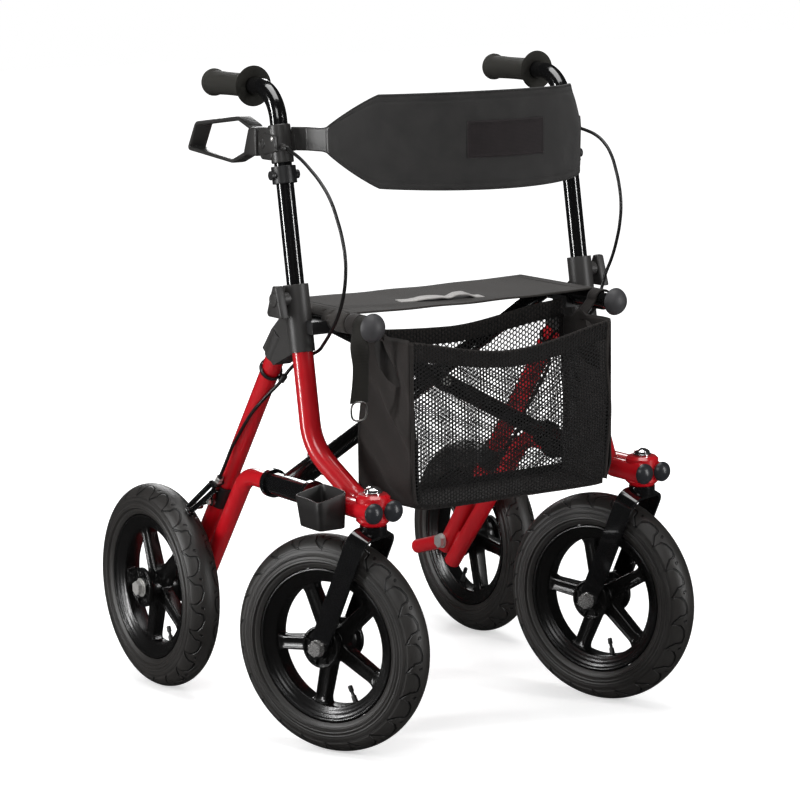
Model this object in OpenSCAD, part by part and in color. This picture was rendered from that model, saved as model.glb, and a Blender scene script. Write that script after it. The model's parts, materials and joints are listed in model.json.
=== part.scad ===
// All terrain rollator: folding tube frame, air-filled tyres, loop brakes, sling seat, basket, back belt.
// Millimetres. The front is -Y, +X is to the right seen from the front, the floor is at zero height.
// Pieces that come in pairs are drawn on the right side, and mirrored for the left one.

/* [Stance] */
// Half distance between the caster swivel axes
caster_x = 232; // [222:1:242]
// Place of the swivel axes along the part
caster_y = -296; // [-306:1:-286]
// Place of the rear axle along the part
rear_axle_y = 222; // [216:1:230]
// Half distance between the rear wheels
rear_track_half = 289; // [288:1:296]
// Distance that a front axle trails its swivel axis
caster_trail = 70; // [62:1:74]
// Turn of the left caster at rest
caster_turn_left = 24; // [0:1:45]
// Turn of the right caster at rest
caster_turn_right = 20; // [0:1:45]

/* [Wheels] */
// Outer diameter of the tyres
wheel_d = 310; // [304:1:314]
// Width of the tyres
tyre_w = 56; // [50:1:58]
// Thickness of a tyre's rubber
tyre_wall = 5; // [4:0.5:7]
// Diameter over the rim's flanges
rim_d = 220; // [212:1:226]
// Width over the rim's flanges
rim_w = 44; // [40:1:46]
// Diameter of the opening inside the rim
rim_opening_d = 178; // [168:1:184]
// Diameter of the hub's end discs
hub_d = 60; // [52:1:66]
// Diameter of the hub between its end discs
hub_core_d = 44; // [38:1:48]
// Length of the hub
hub_l = 66; // [64:1:70]
// Thickness of a hub end disc
hub_disc_t = 7; // [5:1:9]
// Number of spokes
spoke_count = 5; // [4:1:7]
// Width of a spoke at the hub
spoke_in_w = 23; // [16:1:26]
// Width of a spoke at the rim
spoke_out_w = 20; // [18:1:32]
// Thickness of a spoke
spoke_t = 17; // [12:1:24]
// Diameter of the axle bolts
axle_d = 12; // [10:1:14]
// Outer diameter of the wheel bearings
bearing_d = 28; // [24:1:32]
// Width of a wheel bearing
bearing_w = 8; // [6:1:10]
// Diameter of a valve
valve_d = 8; // [6:1:9]
// Length of a valve inside the rim
valve_l = 26; // [18:1:32]

/* [Casters] */
// Diameter of the swivel housing
head_d = 48; // [44:1:52]
// Height of the swivel housing
head_h = 44; // [38:1:48]
// Diameter of the swivel stem
stem_d = 18; // [14:1:22]
// Width of the fork's flat bar
fork_bar_w = 30; // [24:1:34]
// Thickness of the fork's flat bar
fork_bar_t = 5; // [4:0.5:6]
// Radius of the fork's shoulders
fork_shoulder_r = 20; // [12:1:26]
// Height of the fork's crown under the swivel housing
crown_drop = 8; // [7:1:16]

/* [Frame] */
// Place of the handle columns from the middle plane
column_x = 246; // [242:1:250]
// Place of the columns along the part, at the top of the head castings
column_y = -124; // [-130:1:-118]
// Lean of the columns to the rear
column_lean = 9.4; // [8:0.1:10.5]
// Height of the head castings' top
casting_top_z = 647; // [640:1:655]
// Height of the head castings' foot
casting_foot_z = 553; // [545:1:560]
// Wall of the head castings
casting_wall = 3; // [2.5:0.5:4]
// Outer diameter of the front legs
leg_d = 30; // [28.6:0.1:31]
// Outer diameter of the lower rails
rail_d = 26; // [24:0.5:28]
// Outer diameter of the rear legs
rear_leg_d = 28; // [25:0.5:29]
// Wall of the frame tubes
tube_wall = 2; // [1.5:0.1:2.2]
// Height of the rails and of the front legs' feet
rail_z = 352; // [346:1:358]
// Height of the knee in a front leg
knee_z = 421; // [412:1:430]
// Bend radius of the knee
knee_r = 90; // [70:1:100]
// Bend radius of a front leg's foot
foot_r = 45; // [40:1:50]
// Place of the rear bend of the rails
rail_bend_y = 22; // [14:1:30]
// Bend radius of the rails
rail_bend_r = 60; // [50:1:70]

/* [Fold] */
// Place of the seat tubes from the middle plane
seat_x = 208; // [204:1:210]
// Height of the seat tubes
seat_z = 598; // [592:1:604]
// Diameter of the seat tubes and of the cross braces
brace_d = 25; // [22:0.5:26]
// Place of the cross brace that stands on the left rail
brace_left_y = -91; // [-93:1:-86]
// Place of the cross brace that stands on the right rail
brace_right_y = -118; // [-120:1:-117]
// Length of a brace's sleeve on its rail
sleeve_l = 118; // [100:1:124]
// Wall of a brace's sleeve
sleeve_wall = 4; // [3:0.5:5]

/* [Handles] */
// Height of the grips
grip_z = 919; // [910:1:930]
// Diameter of the handle tubes
handle_d = 25; // [22:0.5:25.2]
// Wall of the handle tubes
handle_wall = 1.5; // [1:0.1:2]
// Height of a handle tube's lower end
handle_low_z = 566; // [562:1:580]
// Bend radius of the handle tubes
handle_bend_r = 52; // [46:1:54]
// Front end of the grips
grip_front_y = -19; // [-22:1:-14]
// Length of the grips
grip_l = 118; // [105:1:130]
// Diameter of the grips
grip_d = 36; // [32:1:38]
// Diameter of a grip's flange
flange_d = 50; // [44:1:52]
// Height of the brake levers' pivots
lever_z = 842; // [838:1:846]
// Length of a lever from its pivot to its rear end
lever_l = 222; // [200:1:230]
// Height of a lever's loop
lever_h = 70; // [60:1:74]
// Width of a lever's band
lever_w = 22; // [18:1:26]
// Thickness of a lever's band
lever_t = 5; // [4:0.5:6]

/* [Soft parts] */
// Front edge of the seat
seat_front_y = -213; // [-220:1:-205]
// Rear edge of the seat
seat_rear_y = -25; // [-30:1:-20]
// Thickness of the fabrics
fabric_t = 2.2; // [1.5:0.1:3]
// Half width of the basket's front
basket_front_x = 172; // [160:1:178]
// Half width of the basket's back
basket_back_x = 192; // [180:1:193]
// Front of the basket
basket_front_y = -301; // [-310:1:-292]
// Back of the basket
basket_back_y = -186; // [-200:1:-180]
// Height of the basket's bottom
basket_low_z = 340; // [336:1:360]
// Height of the basket's rim
basket_high_z = 578; // [565:1:580]
// Radius of the back belt's bow
belt_r = 218; // [212:1:220]
// Thickness of the back belt
belt_t = 11; // [8:1:14]
// Half height of the back belt
belt_half_h = 63; // [55:1:66]
// Height of the back belt's middle
belt_z = 849; // [846:1:853]
// Length of the cane cup's rim along the rail
cup_d = 62; // [50:1:66]
// Height of the cane cup
cup_h = 54; // [45:1:55]
// Wall of the cane cup
cup_wall = 2.5; // [2:0.5:4]

/* [Hidden] */
$fn = 64;

// How far a cut runs past the face that it opens
overrun = 1;
// Joint line between pieces that are fixed together
weld_gap = 0.1;
// Clear space between pieces that move
slip = 0.35;
// Radial clearance of pins, stems and bushes
run_fit = 0.08;
// How far a straight tube runs into a bend, and how much the bend's skin stands over it
bend_lap = 0.8;
bend_swell = 0.02;

// Colours
red = [0.70, 0.01, 0.03];
black = [0.04, 0.04, 0.045];
dark_grey = [0.16, 0.16, 0.17];
mid_grey = [0.30, 0.30, 0.32];
steel = [0.75, 0.76, 0.78];
fabric_grey = [0.12, 0.11, 0.11];
strap_grey = [0.55, 0.55, 0.54];

// Tubes at the swivel housing
tube_half_pitch = 16;
tube_overhang = 26;
head_top_bevel = 4;
head_foot_bevel = 7;
rail_plug_lip = 1.5;
foot_set = 60;
plug_dome = 8;
plug_rim = 2;
leg_foot_x = caster_x - tube_half_pitch;
rail_x = caster_x + tube_half_pitch;
tube_front_y = caster_y - tube_overhang;
head_low_z = rail_z - head_h / 2;
axle_z = wheel_d / 2;
casting_d = leg_d + 2 * casting_wall;
leg_top_share = 0.5;
leg_top_z = casting_foot_z + leg_top_share * (casting_top_z - casting_foot_z);

// Rear leg, from the head casting to the rear axle
rear_leg_set = 53;
rear_leg_drop = 8;
rear_hub_gap = 2;
rear_leg_top_y = column_y + rear_leg_set;
rear_leg_top_z = casting_foot_z - rear_leg_drop;
rear_leg_x = rear_track_half - hub_l / 2 - rear_leg_d / 2 - rear_hub_gap;
rear_leg_tail = 18;
rail_foot_in = 4;
rail_foot_x = rear_leg_x - rail_foot_in;
rail_foot_set = 13;
rail_foot_drop = 33;
gusset_t = 8;
gusset_up = 46;
pedal_l = 94;
pedal_drop = 28;
pedal_d = 23;

// Points that the frame is built on
column_ref_z = 647;
function on_column(z) = [column_x, column_y + (z - column_ref_z) * tan(column_lean), z];
rear_leg_top = [column_x, rear_leg_top_y, rear_leg_top_z];
rear_axle = [rear_leg_x, rear_axle_y, axle_z];
rear_leg_dir = (rear_axle - rear_leg_top) / norm(rear_axle - rear_leg_top);
rail_foot = [rail_foot_x, rear_axle_y - rail_foot_set, axle_z - rail_foot_drop];
rail_points = [[rail_x, tube_front_y, rail_z], [rail_x, rail_bend_y, rail_z], rail_foot];
rail_foot_dir = (rail_foot - rail_points[1]) / norm(rail_foot - rail_points[1]);
leg_points = [
    on_column(leg_top_z), on_column(knee_z),
    [leg_foot_x, caster_y + foot_set, rail_z], [leg_foot_x, tube_front_y, rail_z]
];
grip_rear_y = grip_front_y + grip_l;
grip_cap = 5;
handle_points = [
    on_column(handle_low_z), on_column(grip_z), [column_x, grip_rear_y - grip_cap, grip_z]
];

// Head casting: clamp boss for the height screw, lobe to the rear leg
knob_drop = 19;
knob_z = casting_top_z - knob_drop;
knob_screw_d = 8;
knob_boss_d = 20;
knob_boss_l = 7;
knob_l = 13;
knob_outline = [[-7, 20], [3, 20], [20.5, -20], [17, -25], [-21.5, -25]];
lobe_t = 28;
lobe_up = 54;
lobe_mid = 34;
socket_l = 46;
socket_down = 8;

// Cross braces
fold_low = [rail_x, rail_z];
fold_high = [seat_x, seat_z];
brace_cross_z = rail_z + (seat_z - rail_z) * rail_x / (rail_x + seat_x);
sleeve_d = rail_d + 2 * sleeve_wall;
sleeve_rear_y = -50;
sleeve_collar = 4;
sleeve_collar_l = 9;
brace_collar_at = 74;
brace_collar_l = 16;
brace_bolt_d = 8;
brace_nut_d = 15;
brace_nut_t = 6;

// Seat tubes and what carries them
seat_tube_set = 37;
seat_tube_tail = 12;
seat_tube_front_y = caster_y + seat_tube_set;
seat_tube_rear_y = seat_rear_y + seat_tube_tail;
seat_knob_d = 40;
seat_knob_t = 15;
seat_knob_neck = 5;
cradle_l = 34;
cradle_wall = 5;
cradle_gap = 3.5;
cradle_rear_y = brace_right_y - brace_d / 2 - cradle_gap;

// Brake parts on the handle
housing_w = 36;
housing_front = 21;
housing_rear = 38;
housing_half_h = 28;
housing_chamfer = 9;
housing_edge = 8;
pivot_set = 25;
pivot_d = 8;
tongue_w = 13;
tongue_d = 18;
knuckle_set = 23;
knuckle_w = 26;
collar_h = 24;
collar_wall = 5;
collar_gap = 3;
collar_screw_d = 13;
collar_screw_l = 5;
lever_y = on_column(lever_z).y + pivot_set;
lever_shares = [
    [0.175, 0.29], [0.35, 0.47], [0.88, 0.27], [1, -0.34], [0.43, -0.5], [0.25, -0.29]
];

// Rear brake
brake_rise = 147;
brake_set = 122;
brake_z = axle_z + brake_rise;
brake_pivot_y = rear_axle_y - brake_set;
brake_pivot_d = 8;
brake_clamp_l = 44;
brake_clamp_wall = 4;
brake_arm_t = 6;
brake_arm_w = 16;
brake_bar_w = 13;
shoe_set = 92;
shoe_rise = 135;
shoe_y = rear_axle_y - shoe_set;
shoe_z = axle_z + shoe_rise;
shoe_d = 10;
shoe_l = 26;
lug_w = 10;
stop_w = 18;
stop_h = 16;
stop_reach = 27;
stop_up = 10;
adjuster_d = 9;
adjuster_l = 24;
adjuster_out = 21.74;
adjuster_set = 17;
adjuster_rise = 22.5;
adjuster_end = [
    on_rear_leg(brake_z).x + adjuster_out, brake_pivot_y - lug_w - adjuster_set,
    brake_z + stop_up + stop_h / 2 + adjuster_rise
];

// Soft parts
hem_wall = fabric_t;
belt_tip_share = 0.27;
belt_full_angle = 51;
belt_tip_angle = 73;
belt_arm_angle = 84;
belt_arm_t = 5;
belt_plate_l = 26;
strap_x = -20;
strap_l = 120;
strap_w = 25;
strap_lift = 5;
strap_t = 1.6;
mesh_t = 1.6;
mesh_columns = 18;
mesh_rows = 12;
mesh_back_columns = 12;
mesh_back_rows = 7;
mesh_edge = 12;
mesh_bar_share = 0.74;
basket_loop_w = 22;
basket_loop_drop = 60;
hang_strap_l = 105;
hang_loop_w = 20;
hang_loop_gap = 0.4;
ring_d = 24;
ring_wire_d = 3;
cup_set = 49;
cup_rise = 14;
cup_width_share = 0.73;
cup_foot_in = 5;
cup_dip = 11;

// Brake cable
cable_d = 5;
cable_sides = 8;
cable_side = 6;
cable_drop = 4;
cable_seat = [0, -0.25, 0.3];
cable_out = [column_x + cable_side, on_column(lever_z).y - housing_front - slip, lever_z - cable_drop];
cable_in = adjuster_end + cable_seat;
function by_leg(p) = on_rear_leg(p.z) + [p.x, p.y, 0];
cable_route = [
    cable_out, cable_out + [0, -8, -0.8], cable_out + [2, -18, -3.1], cable_out + [3, -46.6, -12.4],
    cable_out + [4, -74.9, -25.7], cable_out + [5, -102.8, -41.8], [257, -239, 775.7],
    [257, -256.5, 749.3], [257, -269, 722.6], [257, -275.1, 698.4], [257, -275.2, 677.9],
    [256, -270.1, 656.7], [254, -259.8, 636.2], [250, -240.4, 612.9], [242, -209.1, 588.5],
    [232, -172.8, 566.2], [223.5, -146, 553.5], [222.5, -127, 546], [223, -109, 539],
    [224.5, -91, 531], [227, -77.5, 521.5], by_leg([-15, -22, 511]), by_leg([-8.3, -23.6, 497]),
    by_leg([0.7, -23.2, 482.9]), by_leg([8.1, -20.9, 468.9]), by_leg([12.9, -16.6, 453.9]),
    by_leg([15.7, -12.2, 434]), by_leg([17.3, -8.8, 410.6]), by_leg([18.9, -5.9, 387]),
    cable_in + [0, -18.2, 23.7], cable_in
];

// Placing

module mirrored_side(side) {
    if (side < 0) mirror([1, 0, 0]) children();
    else children();
}

module slab_x(x, w) {
    translate([x - w / 2, 0, 0]) rotate([90, 0, 90]) linear_extrude(w) children();
}

module slab_y(y, w) {
    translate([0, y + w / 2, 0]) rotate([90, 0, 0]) linear_extrude(w) children();
}

module along(from, to) {
    run = to - from;
    translate(from) rotate([0, acos(run.z / norm(run)), atan2(run.y, run.x)]) children();
}

module at_wheel(centre, turn) {
    translate(centre) rotate([0, 0, turn]) rotate([0, 90, 0]) children();
}

module at_caster(side) {
    turn = side < 0 ? caster_turn_left : caster_turn_right;
    translate([side * caster_x, caster_y, 0]) rotate([0, 0, turn]) children();
}

// Tubes

module rod(from, to, d, bore = 0) {
    length = norm(to - from);
    along(from, to) difference() {
        cylinder(d = d, h = length);
        if (bore > 0) translate([0, 0, -overrun]) cylinder(d = bore, h = length + 2 * overrun);
    }
}

function heading(p, i) = (p[i + 1] - p[i]) / norm(p[i + 1] - p[i]);
function bend_turn(p, i) = acos(heading(p, i - 1) * heading(p, i));
function setback(p, i, r) = r * tan(bend_turn(p, i) / 2);
function bend_start(p, i, r) = p[i] - setback(p, i, r) * heading(p, i - 1);
function bend_end(p, i, r) = p[i] + setback(p, i, r) * heading(p, i);
function bend_inward(p, i) = let (
    h = heading(p, i - 1), g = heading(p, i), w = g - (g * h) * h
) w / norm(w);

module bend(p, i, r, d, bore) {
    inward = bend_inward(p, i);
    travel = heading(p, i - 1);
    radial = -inward;
    axis = cross(radial, travel);
    centre = bend_start(p, i, r) + r * inward;
    multmatrix([
        [radial.x, travel.x, axis.x, centre.x],
        [radial.y, travel.y, axis.y, centre.y],
        [radial.z, travel.z, axis.z, centre.z],
        [0, 0, 0, 1]
    ]) rotate_extrude(angle = bend_turn(p, i)) translate([r, 0]) difference() {
        circle(d = d);
        if (bore > 0) circle(d = bore);
    }
}

module tube_path(p, radii, d, bore = 0) {
    last = len(p) - 1;
    for (i = [0:last - 1]) {
        from = i == 0 ? p[0] : bend_end(p, i, radii[i - 1]) - bend_lap * heading(p, i);
        to = i == last - 1 ? p[last] : bend_start(p, i + 1, radii[i]) + bend_lap * heading(p, i);
        rod(from, to, d, bore);
    }
    for (i = [1:last - 1]) bend(p, i, radii[i - 1], d + 2 * bend_swell, bore - 2 * bend_swell);
}

// Cord swept along its route, one ring of corners at each point

function route_dir(p, i) = let (
    a = p[max(i - 1, 0)], b = p[min(i + 1, len(p) - 1)]
) (b - a) / norm(b - a);

function route_ring(p, i, r, sides) = let (
    t = route_dir(p, i), u = cross(t, [1, 0, 0]) / norm(cross(t, [1, 0, 0])), v = cross(t, u)
) [for (k = [0:sides - 1]) p[i] + r * (cos(360 * k / sides) * u + sin(360 * k / sides) * v)];

module cord(p, d, sides) {
    rings = len(p);
    points = [for (i = [0:rings - 1]) each route_ring(p, i, d / 2, sides)];
    skin = [for (i = [0:rings - 2], k = [0:sides - 1]) let (
        a = i * sides + k, b = i * sides + (k + 1) % sides
    ) each [[a, b, b + sides], [a, b + sides, a + sides]]];
    first = [for (k = [1:sides - 2]) [0, k + 1, k]];
    end = (rings - 1) * sides;
    final = [for (k = [1:sides - 2]) [end, end + k, end + k + 1]];
    polyhedron(points, concat(skin, first, final));
}

// Frame

module swivel_housing(grow) {
    r = head_d / 2 + grow;
    translate([caster_x, caster_y, head_low_z]) rotate_extrude() polygon([
        [0, 0], [r - head_foot_bevel, 0], [r, head_foot_bevel], [r, head_h - head_top_bevel],
        [r - head_top_bevel, head_h], [0, head_h]
    ]);
}

module front_leg(side) {
    color(red) mirrored_side(side) {
        difference() {
            tube_path(leg_points, [knee_r, foot_r], leg_d, leg_d - 2 * tube_wall);
            swivel_housing(weld_gap);
        }
        difference() {
            swivel_housing(0);
            translate([caster_x, caster_y, head_low_z - overrun])
                cylinder(d = stem_d + 2 * run_fit, h = head_h + 2 * overrun);
        }
    }
}

module lower_rail(side) {
    color(red) mirrored_side(side) difference() {
        union() {
            tube_path(rail_points, [rail_bend_r], rail_d, rail_d - 2 * tube_wall);
            rod(rail_foot - tube_wall * rail_foot_dir, rail_foot, rail_d);
        }
        swivel_housing(weld_gap);
    }
}

module rear_gusset() {
    slab_x(rear_leg_x, gusset_t) polygon([
        [rear_axle_y, axle_z],
        [rail_foot.y, rail_foot.z],
        [rail_foot.y - gusset_up * rail_foot_dir.y, rail_foot.z - gusset_up * rail_foot_dir.z],
        [rear_axle_y - gusset_up * rear_leg_dir.y, axle_z - gusset_up * rear_leg_dir.z]
    ]);
}

module rear_leg(side) {
    pedal_end = rear_axle + [0, pedal_l, -pedal_drop];
    color(red) mirrored_side(side) difference() {
        union() {
            rod(rear_leg_top, rear_axle + rear_leg_tail * rear_leg_dir, rear_leg_d,
                rear_leg_d - 2 * tube_wall);
            rod(rear_axle, pedal_end, pedal_d);
            difference() {
                rear_gusset();
                rod(rail_points[1], rail_foot + gusset_up * rail_foot_dir, rail_d + 2 * weld_gap);
            }
        }
        translate([0, rear_axle_y, axle_z]) rotate([0, 90, 0])
            cylinder(d = axle_d + 2 * weld_gap, h = rear_track_half);
    }
}

module plug(d) {
    dome_r = (d * d / 4 + plug_dome * plug_dome) / (2 * plug_dome);
    rotate([90, 0, 0]) {
        cylinder(d = d, h = plug_rim);
        translate([0, 0, plug_rim]) intersection() {
            translate([0, 0, plug_dome - dome_r]) sphere(r = dome_r);
            cylinder(d = d, h = plug_dome + overrun);
        }
    }
}

module frame_plugs(side) {
    color(dark_grey) mirrored_side(side) {
        translate([leg_foot_x, tube_front_y - weld_gap, rail_z]) plug(leg_d);
        translate([rail_x, tube_front_y - weld_gap, rail_z]) plug(rail_d + 2 * rail_plug_lip);
    }
}

module casting_lobe() {
    low = rear_leg_top + socket_down * rear_leg_dir;
    slab_x(column_x, lobe_t) polygon([
        [on_column(casting_top_z - lobe_up / 2).y, casting_top_z - lobe_up / 2],
        [rear_leg_top.y - lobe_mid * rear_leg_dir.y + rear_leg_d / 2, rear_leg_top.z + lobe_mid],
        [low.y + casting_d / 2 * abs(rear_leg_dir.z), low.z + casting_d / 2 * rear_leg_dir.y],
        [low.y - casting_d / 2 * abs(rear_leg_dir.z), low.z - casting_d / 2 * rear_leg_dir.y],
        [on_column(casting_foot_z).y, casting_foot_z]
    ]);
}

module head_casting(side) {
    socket_top = rear_leg_top - (socket_l - socket_down) * rear_leg_dir;
    socket_foot = rear_leg_top + socket_down * rear_leg_dir;
    bore_end = rear_leg_top + socket_l * rear_leg_dir;
    color(dark_grey) mirrored_side(side) difference() {
        union() {
            rod(on_column(casting_foot_z), on_column(casting_top_z), casting_d);
            casting_lobe();
            rod(socket_top, socket_foot, rear_leg_d + 2 * casting_wall);
            translate([column_x, on_column(knob_z).y, knob_z]) rotate([0, 90, 0])
                cylinder(d = knob_boss_d, h = casting_d / 2 + knob_boss_l);
        }
        rod(on_column(casting_foot_z - knob_boss_d), on_column(leg_top_z + weld_gap), leg_d + 2 * weld_gap);
        rod(on_column(leg_top_z), on_column(casting_top_z + knob_boss_d), handle_d + 2 * run_fit);
        rod(rear_leg_top - weld_gap * rear_leg_dir, bore_end, rear_leg_d + 2 * weld_gap);
        translate([column_x, on_column(knob_z).y, knob_z]) rotate([0, 90, 0])
            cylinder(d = knob_screw_d + 2 * run_fit, h = casting_d);
    }
}

module clamp_knob(side) {
    face_x = column_x + casting_d / 2 + knob_boss_l + slip;
    color(mid_grey) mirrored_side(side) translate([0, on_column(knob_z).y, knob_z]) {
        translate([column_x + handle_d / 2 + slip, 0, 0]) rotate([0, 90, 0])
            cylinder(d = knob_screw_d, h = face_x - column_x - handle_d / 2);
        translate([face_x, 0, 0]) rotate([0, 90, 0]) cylinder(d = knob_boss_d, h = knob_l);
        slab_x(face_x + knob_l / 2, knob_l) polygon(knob_outline);
    }
}

module seat_cradle(side) {
    low_z = seat_z - brace_d / 2 - slip - cradle_wall;
    groove_d = brace_d + 2 * slip;
    color(black) mirrored_side(side) difference() {
        translate([seat_x - groove_d / 2 - cradle_wall, cradle_rear_y - cradle_l, low_z])
            cube([column_x - seat_x + groove_d / 2 + cradle_wall, cradle_l, seat_z - low_z]);
        rod([seat_x, cradle_rear_y + overrun, seat_z],
            [seat_x, cradle_rear_y - cradle_l - overrun, seat_z], groove_d);
        rod(on_column(casting_foot_z), on_column(casting_top_z), casting_d + 2 * weld_gap);
        translate([column_x, cradle_rear_y - cradle_l - overrun, low_z - overrun])
            cube([casting_d, cradle_l + 2 * overrun, brace_d + cradle_wall + 2 * overrun]);
    }
}

// Handles and brake levers

module handle_tube(side) {
    color(black) mirrored_side(side)
        tube_path(handle_points, [handle_bend_r], handle_d, handle_d - 2 * handle_wall);
}

module grip(side) {
    start = [column_x, grip_front_y, grip_z];
    end = [column_x, grip_rear_y, grip_z];
    flange_t = grip_cap;
    color(black) mirrored_side(side) difference() {
        union() {
            rod(start, end, grip_d);
            rod(start, start + [0, flange_t, 0], flange_d);
            rod(end - [0, flange_t, 0], end, grip_d + 2 * tube_wall);
        }
        rod(start - [0, overrun, 0], end - [0, grip_cap - weld_gap, 0], handle_d + 2 * weld_gap);
    }
}

module handle_collar(side) {
    top_z = lever_z - housing_half_h - collar_gap;
    middle = on_column(top_z - collar_h / 2);
    d = handle_d + 2 * collar_wall;
    color(black) mirrored_side(side) {
        difference() {
            union() {
                rod(on_column(top_z - collar_h), on_column(top_z), d);
                translate(middle - [d / 2 + collar_screw_l, 0, 0]) rotate([0, 90, 0])
                    cylinder(d = collar_screw_d, h = d + 2 * collar_screw_l);
            }
            rod(on_column(top_z - 2 * collar_h), on_column(top_z + collar_h), handle_d + 2 * weld_gap);
        }
    }
}

module housing_block(front, rear) {
    low_z = lever_z - housing_half_h;
    high_z = lever_z + housing_half_h;
    half_w = housing_w / 2;
    intersection() {
        slab_x(column_x, housing_w) polygon([
            [front, low_z + housing_chamfer], [front, high_z], [rear - housing_chamfer, high_z],
            [rear, high_z - housing_chamfer], [rear, low_z + housing_chamfer],
            [rear - housing_chamfer, low_z], [front + housing_chamfer, low_z]
        ]);
        translate([column_x, 0, low_z]) linear_extrude(2 * housing_half_h) polygon([
            [-half_w + housing_edge, front], [half_w - housing_edge, front], [half_w, front + housing_edge],
            [half_w, rear], [-half_w, rear], [-half_w, front + housing_edge]
        ]);
    }
}

module brake_housing(side) {
    front = on_column(lever_z).y - housing_front;
    rear = on_column(lever_z).y + housing_rear;
    slot_front = lever_y - tongue_d / 2 - slip;
    color(dark_grey) mirrored_side(side) {
        difference() {
            housing_block(front, rear);
            rod(on_column(lever_z - 2 * housing_half_h), on_column(lever_z + 2 * housing_half_h),
                handle_d + 2 * weld_gap);
            translate([column_x - tongue_w / 2 - slip, slot_front, lever_z - housing_half_h - overrun])
                cube([tongue_w + 2 * slip, housing_w + housing_rear, 2 * (housing_half_h + overrun)]);
        }
        translate([column_x - housing_w / 2, lever_y, lever_z]) rotate([0, 90, 0])
            cylinder(d = pivot_d, h = housing_w);
    }
}

function inset_corner(p, i, t) = let (
    n = len(p), a = p[(i + n - 1) % n], b = p[i], c = p[(i + 1) % n],
    d1 = (b - a) / norm(b - a), d2 = (c - b) / norm(c - b),
    n1 = [d1.y, -d1.x], n2 = [d2.y, -d2.x]
) b + t * (n1 + n2) / (1 + n1 * n2);

module brake_lever(side) {
    loop = [for (s = lever_shares) [lever_y + s.x * lever_l, lever_z + s.y * lever_h]];
    hole = [for (i = [0:len(loop) - 1]) inset_corner(loop, i, lever_t)];
    front = lever_y + knuckle_set;
    color(black) mirrored_side(side) difference() {
        union() {
            slab_x(column_x, lever_w) difference() {
                polygon(loop);
                polygon(hole);
            }
            slab_x(column_x, knuckle_w) polygon([
                [front, loop[5].y], [front, loop[0].y], loop[0], hole[0], hole[5], loop[5]
            ]);
            slab_x(column_x, tongue_w) translate([lever_y, lever_z - tongue_d / 2])
                square([knuckle_set + lever_t, tongue_d]);
            translate([column_x - tongue_w / 2, lever_y, lever_z]) rotate([0, 90, 0])
                cylinder(d = tongue_d, h = tongue_w);
        }
        translate([column_x - housing_w, lever_y, lever_z]) rotate([0, 90, 0])
            cylinder(d = pivot_d + 2 * run_fit, h = 2 * housing_w);
    }
}

module brake_cable(side) {
    color(black) mirrored_side(side) cord(cable_route, cable_d, cable_sides);
}

// Rear brakes

function on_rear_leg(z) = rear_axle + (z - axle_z) / rear_leg_dir.z * rear_leg_dir;

module brake_clamp(side) {
    middle = on_rear_leg(brake_z);
    half = brake_clamp_l / 2 * rear_leg_dir;
    d = rear_leg_d + 2 * brake_clamp_wall;
    lug_x = middle.x + d / 2;
    pin_l = brake_arm_t + slip + brake_clamp_wall;
    barrel_dir = [0, rear_leg_dir.y, rear_leg_dir.z] / norm([0, rear_leg_dir.y, rear_leg_dir.z]);
    color(dark_grey) mirrored_side(side) {
        difference() {
            union() {
                rod(middle - half, middle + half, d);
                translate([middle.x, brake_pivot_y - lug_w, brake_z - lug_w]) cube([d / 2, d, 2 * lug_w]);
                translate([middle.x, brake_pivot_y - stop_w - stop_up / 3, brake_z + stop_up])
                    cube([stop_reach, stop_w, stop_h]);
                rod(adjuster_end, adjuster_end + adjuster_l * barrel_dir, adjuster_d);
            }
            rod(middle - 2 * half, middle + 2 * half, rear_leg_d + 2 * weld_gap);
        }
        translate([lug_x - overrun, brake_pivot_y, brake_z]) rotate([0, 90, 0])
            cylinder(d = brake_pivot_d, h = pin_l + overrun);
    }
}

module brake_arm(side) {
    middle = on_rear_leg(brake_z);
    arm_x = middle.x + rear_leg_d / 2 + brake_clamp_wall + slip;
    run = [shoe_y - brake_pivot_y, shoe_z - brake_z];
    color(black) mirrored_side(side) {
        slab_x(arm_x + brake_arm_t / 2, brake_arm_t) translate([brake_pivot_y, brake_z]) difference() {
            union() {
                circle(d = brake_arm_w);
                rotate(atan2(run.y, run.x)) translate([0, -brake_bar_w / 2])
                    square([norm(run), brake_bar_w]);
                translate(run) circle(d = brake_bar_w + overrun);
            }
            circle(d = brake_pivot_d + 2 * run_fit);
        }
        translate([arm_x + brake_arm_t / 2, shoe_y, shoe_z]) rotate([0, 90, 0])
            cylinder(d = shoe_d, h = shoe_l - brake_arm_t / 2);
    }
}

// Folding cross and seat tubes

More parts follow.
